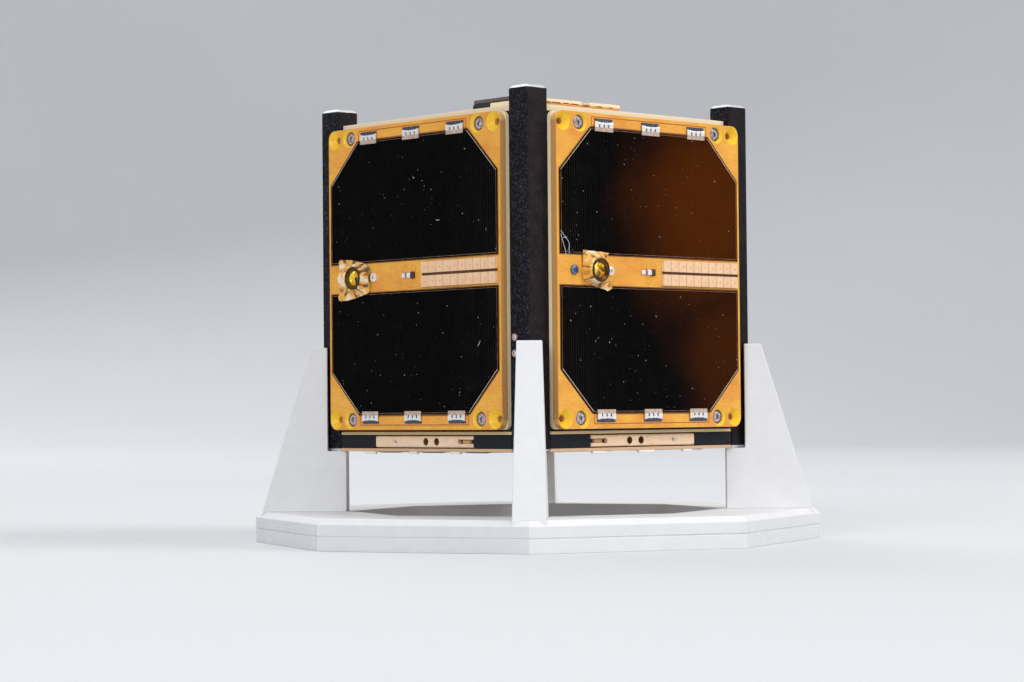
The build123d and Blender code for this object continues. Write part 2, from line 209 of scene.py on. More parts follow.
def laminateFinish(name, pale, dark, level):
    # Glass-fibre board whose layers show on its edges; level boards are layered along Z
    material, tree, shader, where = startMaterial(name, Specular_IOR_Level=0.38)
    if level:
        depth = axes(tree, where)[2]
    else:
        depth = outwardDistance(tree, where)
    layers = waves(tree, depth, 0.36)
    lines = spread(tree, layers, 0.2, 1.0, 0.0, 0.38)
    fibres = grain(tree, where, 0.35, 3.0)
    base = mixed(tree, spread(tree, fibres, 0.3, 0.7, 0.0, 0.6), pale, dark)
    paint(tree, shader, "Base Color", mixed(tree, lines, base, dark))
    paint(tree, shader, "Roughness", spread(tree, fibres, 0.3, 0.7, 0.44, 0.66))
    addBump(tree, shader, fibres, 0.03, 0.5)
    return material


# Heights in mm below and above which a rail is bare metal
bareHeights = (30.86, 142.64)


def anodisedFinish(name, bareEnds):
    # Black anodised aluminium, with faces that look along X painted darker and more bluish-specked as
    # painted shade and reflection; a rail's chamfers and ends are bare metal
    material, tree, shader, where = startMaterial(name, Specular_IOR_Level=0.12)
    fine = grain(tree, where, 0.75, 3.0, 0.7)
    broad = grain(tree, where, 4.5, 3.0)
    # Painted shade and reflection: faces that look along X get a darker colour and more bluish specks
    paintedSideShade = maths(tree, "ABSOLUTE", axes(tree, shaderNode(tree, "TexCoord").outputs["Normal"])[0])
    base = tones(tree, broad, (0.0075, 0.0058, 0.0070), (0.021, 0.0125, 0.0145), 0.35, 0.70)
    base = mixed(tree, spread(tree, paintedSideShade, 0.3, 0.8, 0.0, 0.75), base, (0.0040, 0.0042, 0.0050))
    paintedGlintSpecks = maths(tree, "MULTIPLY", spread(tree, fine, 0.52, 0.68),
                   spread(tree, paintedSideShade, 0.3, 0.8, 0.22, 0.95))
    base = mixed(tree, paintedGlintSpecks, base, (0.062, 0.071, 0.104))
    rough = spread(tree, fine, 0.3, 0.7, 0.42, 0.62)
    if bareEnds:
        up = maths(tree, "ADD", axes(tree, where)[2], wandering(tree, broad, 0.25 * mm))
        below = maths(tree, "LESS_THAN", up, bareHeights[0] * mm)
        above = maths(tree, "GREATER_THAN", up, bareHeights[1] * mm)
        bare = maths(tree, "MAXIMUM", below, above)
        scratched = grain(tree, where, 0.4, 3.0, 0.6, (1.0, 4.0, 1.0))
        metal = tones(tree, scratched, (0.76, 0.76, 0.79), (0.95, 0.95, 0.96))
        base = mixed(tree, bare, base, metal)
        paint(tree, shader, "Metallic", maths(tree, "MULTIPLY", bare, 0.55))
        rough = shaderNode(tree, "Mix", {0: bare, 2: rough, 3: 0.42}, data_type="FLOAT").outputs[0]
    paint(tree, shader, "Base Color", base)
    paint(tree, shader, "Roughness", rough)
    addBump(tree, shader, fine, 0.035, 0.7)
    addBump(tree, shader, broad, 0.06, 0.3)
    return material


# Places, in mm, sizes and strengths of the brown reflection painted into the cells' colour
paintedReflectionSpots = [((27, -54.2, 108), 50, 0.95), ((43, -54.2, 62), 42, 0.6), ((54.2, 20, 70), 46, 0.7),
              ((-12, 54.2, 108), 44, 0.7), ((14, 10, 138.1), 30, 0.5)]


def cellFinish():
    # Dark cell under its cover glass, with a brown reflection painted into its colour in one place on each
    # side
    material, tree, shader, where = startMaterial("cellGlass", Specular_IOR_Level=0.02, Roughness=0.09)
    around = grain(tree, where, 30.0, 3.0)
    ripple = wandering(tree, around, 30 * mm)
    # glow is how strongly the painted brown reflection shows at each point
    glow = None
    for spot, size, strength in paintedReflectionSpots:
        apart = shaderNode(tree, "VectorMath", {0: where, 1: [c * mm for c in spot]}, operation="DISTANCE")
        near = maths(tree, "ADD", apart.outputs["Value"], ripple)
        inputs = {"Value": near, "From Min": 0.15 * size * mm, "From Max": size * mm, "To Min": 1.0,
                  "To Max": 0.0}
        share = shaderNode(tree, "MapRange", inputs, interpolation_type="SMOOTHSTEP").outputs[0]
        share = maths(tree, "MULTIPLY", share, strength)
        glow = share if glow is None else maths(tree, "MAXIMUM", glow, share)
    deep = tones(tree, grain(tree, where, 6.0), (0.0012, 0.0013, 0.0016), (0.0032, 0.0030, 0.0030))
    paint(tree, shader, "Base Color", mixed(tree, glow, deep, (0.085, 0.0185, 0.0012)))
    return material


def lineFinish():
    # Grid lines, painted paler near the front and back corners as a painted highlight
    material, tree, shader, where = startMaterial("cellLines", Specular_IOR_Level=0.05)
    x, y = axes(tree, where)[:2]
    corner = maths(tree, "ABSOLUTE", maths(tree, "ADD", x, y))
    # Painted highlight: the lines are paler the nearer they are to the front or back corner
    near = spread(tree, corner, 70 * mm, 95 * mm)
    patchy = spread(tree, grain(tree, where, 5.0, 3.0), 0.35, 0.65, 0.35, 1.0)
    paint(tree, shader, "Base Color", mixed(tree, maths(tree, "MULTIPLY", near, patchy),
                                            (0.0036, 0.0026, 0.0020), (0.050, 0.039, 0.030)))
    paint(tree, shader, "Roughness", spread(tree, patchy, 0.35, 1.0, 0.30, 0.50))
    return material


def foldedFinish(name, dark, middle, pale, size, rough, metallic=0.0, coat=0.0, darkTo=0.46, mottle=2.0):
    # Crumpled film: hollows are painted dark as painted shade and ridges pale as painted highlight, by the
    # fold kept on the mesh and by broad patches
    material, tree, shader, where = startMaterial(name, Specular_IOR_Level=0.6, Metallic=metallic,
                                                  Coat_Weight=coat, Coat_Roughness=0.08)
    fold = shaderNode(tree, "Attribute", attribute_name="fold").outputs["Fac"]
    patches = grain(tree, where, size, 2.0, 0.5)
    level = maths(tree, "ADD", fold, wandering(tree, patches, mottle))
    base = tones(tree, level, dark, middle, darkTo - 0.26, darkTo)
    base = tones(tree, level, base, pale, 0.62, 0.80)
    paint(tree, shader, "Base Color", base)
    paint(tree, shader, "Roughness", spread(tree, patches, 0.3, 0.7, *rough))
    addBump(tree, shader, grain(tree, where, 1.4, 2.0), 0.10, 0.6)
    return material


def grainedFinish(name, dark, pale, rough, size, ragged=0.6, depth=0.03, **constants):
    # Two tones and a fine grain
    material, tree, shader, where = startMaterial(name, **constants)
    marks = grain(tree, where, size, 4.0, ragged)
    paint(tree, shader, "Base Color", tones(tree, marks, dark, pale))
    paint(tree, shader, "Roughness", spread(tree, marks, 0.3, 0.7, *rough))
    addBump(tree, shader, marks, depth, 0.5)
    return material


def printFinish():
    # White print: fine level layers, a slight waviness, and faint dust in them
    material, tree, shader, where = startMaterial("whitePrint", Specular_IOR_Level=0.30)
    up = axes(tree, where)[2]
    wave = grain(tree, where, 5.0, 3.0)
    layers = waves(tree, up, 0.3)
    tone = tones(tree, wave, (0.845, 0.848, 0.868), (0.885, 0.886, 0.898))
    speck = spread(tree, grain(tree, where, 0.8, 2.0), 0.72, 0.80, 0.0, 0.35)
    tone = mixed(tree, speck, tone, (0.70, 0.70, 0.72))
    paint(tree, shader, "Base Color", tone)
    paint(tree, shader, "Roughness", spread(tree, wave, 0.3, 0.7, 0.52, 0.68))
    addBump(tree, shader, layers, 0.018, 0.5)
    addBump(tree, shader, wave, 0.10, 0.35)
    return material


def doorFinish():
    # Glass-fibre composite: a fine woven face and a satin sheen
    material, tree, shader, where = startMaterial("tanDoor", Specular_IOR_Level=0.42)
    x, y, up = axes(tree, where)
    along = maths(tree, "ADD", x, y)
    weave = maths(tree, "MULTIPLY", waves(tree, along, 0.62), waves(tree, up, 0.62))
    cloudy = grain(tree, where, 2.4, 4.0)
    base = tones(tree, cloudy, (0.94, 0.66, 0.43), (1.0, 0.79, 0.58))
    paint(tree, shader, "Base Color", mixed(tree, spread(tree, weave, -1.0, 1.0, 0.0, 0.22), base,
                                            (0.82, 0.55, 0.35)))
    paint(tree, shader, "Roughness", spread(tree, cloudy, 0.3, 0.7, 0.40, 0.56))
    addBump(tree, shader, weave, 0.015, 0.4)
    return material


# Dark tone, pale tone, roughness from and to, size of the grain, and how metallic it is where that isn't 1
metalLooks = {
    # One busbar metal in two looks: the bright one is a painted glint and the dim one painted shade
    "busbar": ((0.62, 0.46, 0.32), (1.0, 0.86, 0.72), (0.30, 0.45), 2.4, 0.2),
    "busbarPaintedShade": ((0.055, 0.024, 0.011), (0.34, 0.20, 0.11), (0.30, 0.45), 3.0, 0.2),
    "tab": ((0.84, 0.83, 0.84), (0.97, 0.96, 0.95), (0.24, 0.40), 0.7, 0.4),
    "steel": ((0.20, 0.155, 0.19), (0.86, 0.79, 0.84), (0.20, 0.36), 0.75, 0.6),
    # Steel painted dark as shade, for screw edges, socket walls and contact rims
    "steelPaintedShade": ((0.085, 0.060, 0.085), (0.30, 0.22, 0.29), (0.22, 0.38), 0.45, 0.6),
    "blueSteel": ((0.012, 0.035, 0.07), (0.18, 0.32, 0.50), (0.14, 0.26), 0.9, 0.8),
    # Steel painted pale as a glint
    "steelPaintedGlint": ((0.80, 0.74, 0.72), (1.0, 0.97, 0.95), (0.20, 0.32), 0.7, 0.35),
    "bright": ((0.55, 0.54, 0.52), (0.80, 0.79, 0.76), (0.26, 0.40), 0.5),
    "tape": ((0.40, 0.34, 0.20), (0.62, 0.55, 0.36), (0.28, 0.42), 0.8),
    "gold": ((0.80, 0.48, 0.16), (0.96, 0.66, 0.28), (0.24, 0.38), 0.5),
    "bowlWall": ((0.050, 0.028, 0.005), (0.30, 0.165, 0.028), (0.14, 0.28), 1.6, 0.5),
    "bronze": ((0.10, 0.075, 0.070), (0.34, 0.28, 0.27), (0.26, 0.42), 0.8, 0.8),
    "sensorRim": ((0.030, 0.012, 0.004), (0.11, 0.050, 0.012), (0.22, 0.38), 0.8, 0.5),
}

# The same for moulded, printed or painted surfaces, with the shine where that isn't 0.4
plainLooks = {
    # Orange-brown inside the bores: painted shade
    "borePaintedShade": ((0.72, 0.38, 0.12), (0.95, 0.58, 0.24), (0.4, 0.55), 0.6),
    "loopBrown": ((0.62, 0.25, 0.055), (0.80, 0.38, 0.10), (0.4, 0.55), 0.6),
    "darkBrown": ((0.080, 0.024, 0.010), (0.19, 0.062, 0.020), (0.4, 0.55), 0.6),
    "tabFoot": ((0.40, 0.27, 0.20), (0.74, 0.58, 0.48), (0.36, 0.5), 0.7),
    # The tabs' dark ends: solder, painted near-black and bluish as painted shade and reflection
    "solderAndShade": ((0.010, 0.011, 0.022), (0.07, 0.075, 0.12), (0.16, 0.32), 0.7, 0.6),
    "pad": ((0.95, 0.55, 0.30), (1.0, 0.70, 0.46), (0.34, 0.5), 1.2, 0.5),
    "padBetween": ((0.58, 0.31, 0.15), (0.78, 0.48, 0.27), (0.4, 0.55), 0.8),
    "padDot": ((0.36, 0.16, 0.07), (0.52, 0.26, 0.12), (0.4, 0.55), 0.6),
    # Dark brown of the bars' sides and the gap: painted shade
    "padPaintedShade": ((0.10, 0.030, 0.008), (0.22, 0.075, 0.020), (0.5, 0.65), 0.6),
    "strap": ((0.50, 0.25, 0.10), (0.72, 0.42, 0.20), (0.5, 0.65), 0.5),
    "holeWall": ((0.16, 0.070, 0.022), (0.30, 0.145, 0.045), (0.6, 0.8), 0.4),
    "mark": ((0.36, 0.110, 0.026), (0.56, 0.21, 0.048), (0.4, 0.55), 0.9),
    "stripCap": ((0.98, 0.76, 0.46), (1.0, 0.90, 0.66), (0.34, 0.5), 0.9, 0.5),
    "stripBase": ((0.56, 0.24, 0.05), (0.84, 0.42, 0.11), (0.4, 0.55), 1.4),
    "chipDark": ((0.045, 0.014, 0.004), (0.13, 0.050, 0.014), (0.3, 0.45), 0.4),
    "chipEnd": ((0.86, 0.78, 0.82), (1.0, 0.96, 0.98), (0.26, 0.42), 0.9, 0.6),
    "chipGrey": ((0.13, 0.085, 0.12), (0.34, 0.27, 0.35), (0.3, 0.45), 0.6),
    "connector": ((0.010, 0.010, 0.012), (0.030, 0.030, 0.034), (0.34, 0.5), 0.6),
    "frameBlack": ((0.006, 0.007, 0.009), (0.018, 0.020, 0.026), (0.36, 0.54), 0.45, 0.15),
    "thread": ((0.72, 0.66, 0.60), (0.93, 0.89, 0.85), (0.6, 0.75), 0.25),
    "dust": ((0.12, 0.115, 0.11), (0.50, 0.48, 0.46), (0.8, 0.95), 1.2),
    "hair": ((0.52, 0.56, 0.62), (0.80, 0.83, 0.88), (0.5, 0.7), 0.3),
    "stack": ((0.03, 0.06, 0.04), (0.06, 0.11, 0.07), (0.45, 0.6), 1.5),
    "pale": ((0.92, 0.88, 0.84), (1.0, 0.98, 0.96), (0.35, 0.5), 0.9),
}

finishes = {
    "amberFilm": amberFilmFinish(),
    "amberEdge": amberEdgeFinish(),
    "seatGold": seatGoldFinish(),
    "creamSide": laminateFinish("creamSide", (1.0, 0.88, 0.60), (0.97, 0.72, 0.44), False),
    "creamLevel": laminateFinish("creamLevel", (1.0, 0.90, 0.68), (0.96, 0.70, 0.40), True),
    # The bottom board is the same cream board, painted darker and browner than the top board as painted
    # shade
    "creamLevelPaintedShade": laminateFinish("creamLevelPaintedShade", (0.86, 0.58, 0.36), (0.56, 0.32, 0.16), True),
    "khaki": laminateFinish("khaki", (0.86, 0.68, 0.38), (0.62, 0.46, 0.22), True),
    "rail": anodisedFinish("railBlack", True),
    "bar": anodisedFinish("barBlack", False),
    "cell": cellFinish(),
    "line": lineFinish(),
    "sensorFoil": foldedFinish("sensorFoil", (0.055, 0.032, 0.004), (0.92, 0.42, 0.030),
                               (1.0, 0.76, 0.050), 2.6, (0.12, 0.22), metallic=0.55, darkTo=0.50),
    "crinkledFilm": foldedFinish("crinkledFilm", (0.15, 0.070, 0.012), (0.98, 0.48, 0.075),
                                 (1.0, 0.84, 0.58), 3.0, (0.16, 0.30), coat=0.3, darkTo=0.42,
                                 mottle=1.1),
    "white": printFinish(),
    "door": doorFinish(),
}
for look, (dark, pale, rough, size, *metallic) in metalLooks.items():
    finishes[look] = grainedFinish(look, dark, pale, rough, size, 0.65, 0.02,
                                   Metallic=(metallic or [1.0])[0])
for look, (dark, pale, rough, size, *shine) in plainLooks.items():
    finishes[look] = grainedFinish(look, dark, pale, rough, size, Specular_IOR_Level=(shine or [0.4])[0])
print("finishes made:", len(finishes))


# Mesh building, in mm

def addBlock(bm, across, up, out, finish=0):
    size = Vector((across[1] - across[0], up[1] - up[0], out[1] - out[0]))
    middle = Vector((across[0] + across[1], up[0] + up[1], out[0] + out[1])) / 2
    place = Matrix.Translation(middle) @ Matrix.Diagonal((*size, 1))
    corners = bmesh.ops.create_cube(bm, size=1, matrix=place)["verts"]
    for face in {f for corner in corners for f in corner.link_faces}:
        face.material_index = finish


def addPrism(bm, outline, out, finish=0):
    # Outline runs anticlockwise, as seen from outside
    inner = [bm.verts.new((x, y, out[0])) for x, y in outline]
    outer = [bm.verts.new((x, y, out[1])) for x, y in outline]
    faces = [bm.faces.new(outer), bm.faces.new(inner[::-1])]
    for i in range(len(outline)):
        j = (i + 1) % len(outline)
        faces.append(bm.faces.new((inner[i], inner[j], outer[j], outer[i])))
    for face in faces:
        face.material_index = finish


def ringOf(bm, centre, radius, out, steps):
    angles = [2 * math.pi * step / steps for step in range(steps)]
    return [bm.verts.new((centre[0] + radius * math.cos(angle), centre[1] + radius * math.sin(angle), out))
            for angle in angles]


def joinRings(bm, first, second, finish=0):
    # Faces between two rings, either of which may be a single point
    steps = max(len(first), len(second))
    for step in range(steps):
        ahead = (step + 1) % steps
        if len(first) == 1:
            corners = (first[0], second[ahead], second[step])
        elif len(second) == 1:
            corners = (first[step], first[ahead], second[0])
        else:
            corners = (first[step], first[ahead], second[ahead], second[step])
        bm.faces.new(corners).material_index = finish


def addTurned(bm, centre, profile, steps, bands=None):
    # Turned shape; its profile of (radius, out) starts and ends on the axis, or is a ring
    rings = []
    for radius, out in profile:
        if radius == 0:
            rings.append([bm.verts.new((centre[0], centre[1], out))])
        else:
            rings.append(ringOf(bm, centre, radius, out, steps))
    closed = profile[0][0] > 0
    pairs = list(zip(rings, rings[1:] + rings[:1])) if closed else list(zip(rings, rings[1:]))
    for band, (first, second) in enumerate(pairs):
        joinRings(bm, first, second, bands[band] if bands else 0)


def addFrameLine(bm, outline, width, out, finish=0, runs=None):
    # Thin closed line that follows an outline inward, as one ring; its runs may each have their own finish
    count = len(outline)
    inner = insetOutline(outline, width)
    loops = []
    for points, height in ((outline, out[0]), (outline, out[1]), (inner, out[1]), (inner, out[0])):
        loops.append([bm.verts.new((x, y, height)) for x, y in points])
    for first, second in zip(loops, loops[1:] + loops[:1]):
        for i in range(count):
            j = (i + 1) % count
            worn = runs[i] if runs else finish
            bm.faces.new((first[i], first[j], second[j], second[i])).material_index = worn


def insetOutline(outline, distance):
    # Moves each edge of an anticlockwise outline inward
    moved = []
    count = len(outline)
    for i in range(count):
        before, here, after = (Vector(outline[(i + k) % count]) for k in (-1, 0, 1))
        first = (here - before).normalized()
        second = (after - here).normalized()
        normals = Vector((-first.y, first.x)), Vector((-second.y, second.x))
        middle = (normals[0] + normals[1]).normalized()
        moved.append(tuple(here + middle * (distance / middle.dot(normals[0]))))
    return moved


def freed(bm, name):
    mesh = bpy.data.meshes.new(name)
    bm.to_mesh(mesh)
    bm.free()
    return mesh


def toMesh(bm, name):
    bmesh.ops.recalc_face_normals(bm, faces=bm.faces)
    return freed(bm, name)


def smoothed(mesh, angle):
    # Smooth, with edges sharper than the angle left sharp
    mesh.shade_smooth()
    mesh.set_sharp_from_angle(angle=math.radians(angle))
    return mesh


def plainMesh(obj):
    # The object's mesh with its modifiers applied; the object itself goes
    graph = bpy.context.evaluated_depsgraph_get()
    mesh = bpy.data.meshes.new_from_object(obj.evaluated_get(graph), preserve_all_data_layers=True,
                                           depsgraph=graph)
    bpy.data.objects.remove(obj)
    return mesh


def linked(name, data):
    obj = bpy.data.objects.new(name, data)
    bpy.context.scene.collection.objects.link(obj)
    return obj


def softened(mesh, width, segments=2, angle=30):
    # Rounds the sharp edges and shades flat faces flat
    mesh.shade_smooth()
    obj = linked("working", mesh)
    bevel = obj.modifiers.new("Bevel", "BEVEL")
    bevel.width = width
    bevel.segments = segments
    bevel.limit_method = "ANGLE"
    bevel.angle_limit = math.radians(angle)
    even = obj.modifiers.new("Even", "WEIGHTED_NORMAL")
    even.keep_sharp = True
    return plainMesh(obj)


def threadAlong(points, radius, steps=8):
    # Thin round thread through points, closed at both ends
    curve = bpy.data.curves.new("thread", "CURVE")
    curve.dimensions = "3D"
    curve.bevel_depth = radius
    curve.bevel_resolution = 2
    curve.use_fill_caps = True
    spline = curve.splines.new("NURBS")
    spline.points.add(len(points) - 1)
    for point, place in zip(spline.points, points):
        point.co = (*place, 1)
    spline.order_u = 3
    spline.use_endpoint_u = True
    spline.resolution_u = steps
    return plainMesh(linked("thread", curve))


def wearing(mesh, index):
    # The mesh with one of its piece's finishes all over
    mesh.polygons.foreach_set("material_index", [index] * len(mesh.polygons))
    return mesh


def laidOut(mesh, place):
    # Copy of a mesh that is drawn for this place, to join a piece in rowPlace
    copied = mesh.copy()
    copied.transform(rowPlace.inverted() @ place)
    return copied


def nodeCopy(node, place):
    # Copy of a CAD node in mm, seen from the given place, with flat faces joined up
    bm = bmesh.new()
    bm.from_mesh(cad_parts[node].data)
    bmesh.ops.remove_doubles(bm, verts=bm.verts, dist=0.0005 * mm)
    bmesh.ops.dissolve_limit(bm, angle_limit=math.radians(0.6), verts=bm.verts, edges=bm.edges)
    bm.transform(place.inverted())
    return freed(bm, node)


def makePiece(name, meshes, place, materials, replaced=(), body=mainBody):
    # Joins the meshes, puts them in their place and ties the piece to its body
    if len(meshes) == 1:
        mesh = meshes[0].copy()
    else:
        bm = bmesh.new()
        for part in meshes:
            bm.from_mesh(part)
        mesh = freed(bm, name)
    mesh.name = name
    mesh.transform(place)
    worn = [0] * len(mesh.polygons)
    mesh.polygons.foreach_get("material_index", worn)
    mesh.materials.clear()
    for material in materials:
        mesh.materials.append(finishes[material])
    mesh.polygons.foreach_set("material_index", worn)
    piece = linked(name, mesh)
    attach(piece, body)
    if replaced:
        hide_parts(*replaced)
    return piece


def onEachSide(name, meshes, placing, materials, node):
    for side in sideTurns:
        makePiece(name + "_" + side, meshes, placing(side), materials, [node + "_" + side])


# Geometry Nodes

def startTree(name, inputs):
    tree = bpy.data.node_groups.new(name, "GeometryNodeTree")
    tree.interface.new_socket(name="Geometry", in_out="INPUT", socket_type="NodeSocketGeometry")
    for label, kind in inputs.items():
        tree.interface.new_socket(name=label, in_out="INPUT", socket_type="NodeSocket" + kind)
    tree.interface.new_socket(name="Geometry", in_out="OUTPUT", socket_type="NodeSocketGeometry")
    return tree, tree.nodes.new("NodeGroupInput").outputs


def endTree(tree, instances, material):
    plain = treeNode(tree, "GeometryNodeRealizeInstances", {"Geometry": instances})
    finished = treeNode(tree, "GeometryNodeSetMaterial",
                        {"Geometry": plain.outputs[0], "Material": material})
    end = tree.nodes.new("NodeGroupOutput")
    tree.links.new(finished.outputs[0], end.inputs[0])
    return tree


def runTree(tree, mesh, values):
    # Inputs are set by identifier before the object is first evaluated
    obj = bpy.data.objects.new("working", mesh)
    modifier = obj.modifiers.new("Nodes", "NODES")
    modifier.node_group = tree
    for item in tree.interface.items_tree:
        if item.item_type == "SOCKET" and item.in_out == "INPUT" and item.name in values:
            modifier[item.identifier] = values[item.name]
    bpy.context.scene.collection.objects.link(obj)
    return plainMesh(obj)


def gridLinesTree():
    # Thin lines up a cell, each as long as the cell's cropped corners leave room for
    tree, given = startTree("gridLines",
                            {"Count": "Int", "Pitch": "Float", "Width": "Float", "Thick": "Float",
                             "Half Width": "Float", "Low": "Float", "High": "Float", "Crop": "Float",
                             "Base": "Float", "Material": "Material"})
    spare = maths(tree, "SUBTRACT", given["Count"], 1.0)
    first = maths(tree, "MULTIPLY", maths(tree, "MULTIPLY", spare, given["Pitch"]), -0.5)
    start = treeNode(tree, "ShaderNodeCombineXYZ", {0: first})
    step = treeNode(tree, "ShaderNodeCombineXYZ", {0: given["Pitch"]})
    line = treeNode(tree, "GeometryNodeMeshLine",
                    {"Count": given["Count"], "Start Location": start.outputs[0], "Offset": step.outputs[0]},
                    mode="OFFSET")
    here = treeNode(tree, "ShaderNodeSeparateXYZ",
                    {0: treeNode(tree, "GeometryNodeInputPosition").outputs[0]})
    flat = maths(tree, "SUBTRACT", given["Half Width"], given["Crop"])
    past = maths(tree, "SUBTRACT", maths(tree, "ABSOLUTE", here.outputs[0]), flat)
    top = maths(tree, "SUBTRACT", given["High"], maths(tree, "MAXIMUM", past, 0.0))
    length = maths(tree, "SUBTRACT", top, given["Low"])
    middle = maths(tree, "MULTIPLY", maths(tree, "ADD", top, given["Low"]), 0.5)
    raised = maths(tree, "ADD", given["Base"], maths(tree, "MULTIPLY", given["Thick"], 0.5))
    offset = treeNode(tree, "ShaderNodeCombineXYZ", {1: middle, 2: raised})
    placed = treeNode(tree, "GeometryNodeSetPosition",
                      {"Geometry": line.outputs[0], "Offset": offset.outputs[0]})
    scale = treeNode(tree, "ShaderNodeCombineXYZ", {0: given["Width"], 1: length, 2: given["Thick"]})
    cube = treeNode(tree, "GeometryNodeMeshCube")
    stored = treeNode(tree, "GeometryNodeCaptureAttribute", {"Geometry": line.outputs[0]})
    stored.capture_items.new("VECTOR", "Scale")
    tree.links.new(scale.outputs[0], stored.inputs[1])
    tree.links.new(stored.outputs[0], placed.inputs["Geometry"])
    lines = treeNode(tree, "GeometryNodeInstanceOnPoints",
                     {"Points": placed.outputs[0], "Instance": cube.outputs[0], "Scale": stored.outputs[1]})
    return endTree(tree, lines.outputs[0], given["Material"])


def copiesTree():
    # A template on each of the mesh's points, turned by the point's own angle and a random spin
    tree, given = startTree("copies",
                            {"Template": "Object", "Spin": "Float", "Seed": "Int", "Material": "Material"})
    template = treeNode(tree, "GeometryNodeObjectInfo", {"Object": given["Template"]})
    turn = treeNode(tree, "GeometryNodeInputNamedAttribute", {"Name": "turn"}, data_type="FLOAT")
    spin = treeNode(tree, "FunctionNodeRandomValue", {"Seed": given["Seed"]}, data_type="FLOAT")
    angle = maths(tree, "ADD", turn.outputs[0], maths(tree, "MULTIPLY", spin.outputs[1], given["Spin"]))
    rotation = treeNode(tree, "ShaderNodeCombineXYZ", {2: angle})
    copies = treeNode(tree, "GeometryNodeInstanceOnPoints", {"Points": given["Geometry"],
                                                             "Instance": template.outputs["Geometry"],
                                                             "Rotation": rotation.outputs[0]})
    return endTree(tree, copies.outputs[0], given["Material"])


def dustTree():
    # Flat flakes scattered over a surface
    tree, given = startTree("dust",
                            {"Density": "Float", "Smallest": "Float", "Largest": "Float", "Seed": "Int",
                             "Material": "Material"})
    clusters = treeNode(tree, "ShaderNodeTexNoise", {"Scale": 0.11, "Detail": 2.0, "W": given["Seed"]},
                        noise_dimensions="4D")
    crowd = treeNode(tree, "ShaderNodeMapRange",
                     {"Value": clusters.outputs[0], "From Min": 0.45, "From Max": 0.68, "To Min": 0.12,
                      "To Max": 3.4})
    density = maths(tree, "MULTIPLY", given["Density"], crowd.outputs[0])
    fine = treeNode(tree, "GeometryNodeSubdivideMesh", {"Mesh": given["Geometry"], "Level": 5})
    points = treeNode(tree, "GeometryNodeDistributePointsOnFaces",
                      {"Mesh": fine.outputs[0], "Density": density, "Seed": given["Seed"]})
    flake = treeNode(tree, "GeometryNodeMeshIcoSphere", {"Radius": 0.5, "Subdivisions": 1})
    chance = treeNode(tree, "FunctionNodeRandomValue", {2: 0.0, 3: 1.0, "Seed": given["Seed"]},
                      data_type="FLOAT")
    rare = maths(tree, "POWER", chance.outputs[1], 3.0)
    growth = maths(tree, "SUBTRACT", given["Largest"], given["Smallest"])
    size = maths(tree, "ADD", given["Smallest"], maths(tree, "MULTIPLY", rare, growth))
    shape = treeNode(tree, "FunctionNodeRandomValue",
                     {0: (0.5, 0.5, 0.10), 1: (1.5, 1.5, 0.22), "Seed": given["Seed"]},
                     data_type="FLOAT_VECTOR")
    scale = treeNode(tree, "ShaderNodeVectorMath", {0: shape.outputs[0], "Scale": size}, operation="SCALE")
    turn = treeNode(tree, "FunctionNodeRandomValue", {2: 0.0, 3: 2 * math.pi, "Seed": given["Seed"]},
                    data_type="FLOAT")
    rotation = treeNode(tree, "ShaderNodeCombineXYZ", {2: turn.outputs[1]})
    flakes = treeNode(tree, "GeometryNodeInstanceOnPoints",
                      {"Points": points.outputs[0], "Instance": flake.outputs[0],
                       "Rotation": rotation.outputs[0], "Scale": scale.outputs[0]})
    return endTree(tree, flakes.outputs[0], given["Material"])


trees = {"gridLines": gridLinesTree(), "copies": copiesTree(), "dust": dustTree()}


def copiesAt(template, places, finish, index=0, spin=0.0, seed=0):
    # Places are (across, up, out, turn in degrees); index is the finish's place in the piece's own list
    mesh = bpy.data.meshes.new("places")
    mesh.from_pydata([place[:3] for place in places], [], [])
    turns = mesh.attributes.new("turn", "FLOAT", "POINT")
    turns.data.foreach_set("value", [math.radians(place[3]) for place in places])
    holder = bpy.data.objects.new("template", template)
    made = runTree(trees["copies"], mesh, {"Template": holder, "Spin": spin, "Seed": seed,
                                           "Material": finishes[finish]})
    bpy.data.objects.remove(holder)
    return wearing(made, index)


print("node trees made:", len(trees))


# Rails, bars and boards

railSizes = {"rounding": 0.35, "steps": 3}
for corner in cornerNames:
    node = "rail_" + corner
    rail = softened(nodeCopy(node, rowPlace), railSizes["rounding"], railSizes["steps"], 40)
    makePiece("cornerRail_" + corner, [rail], rowPlace, ["rail"], [node])

boardSizes = {"rounding": 0.12}
# The bottom board's darker finish is painted shade
boards = {"bottomBoard": ("bottom_board", "cream_board", "creamLevelPaintedShade"),
          "moduleBoard": ("module_board", "khaki_board", "khaki"),
          "topBoard": ("top_board", "cream_board", "creamLevel")}
for name, (node, slotName, finish) in boards.items():
    board = softened(nodeCopy(node, rowPlace), boardSizes["rounding"])
    makePiece(name, [board], rowPlace, [finish], [node])
print("rails and boards made")


# Side panels: cream board, amber face with its countersinks

panelSizes = {"boardRounding": 0.15, "faceRounding": 0.22, "screwAcross": 31.15, "holeAcross": 38.5,
              "screwUp": (40.3, 132.45), "seatReach": 3.25, "boreReach": 2.4, "holeReach": 1.2}


def seatCentres():
    return [(sign * across, up) for across in (panelSizes["screwAcross"], panelSizes["holeAcross"])
            for sign in (-1, 1) for up in panelSizes["screwUp"]]


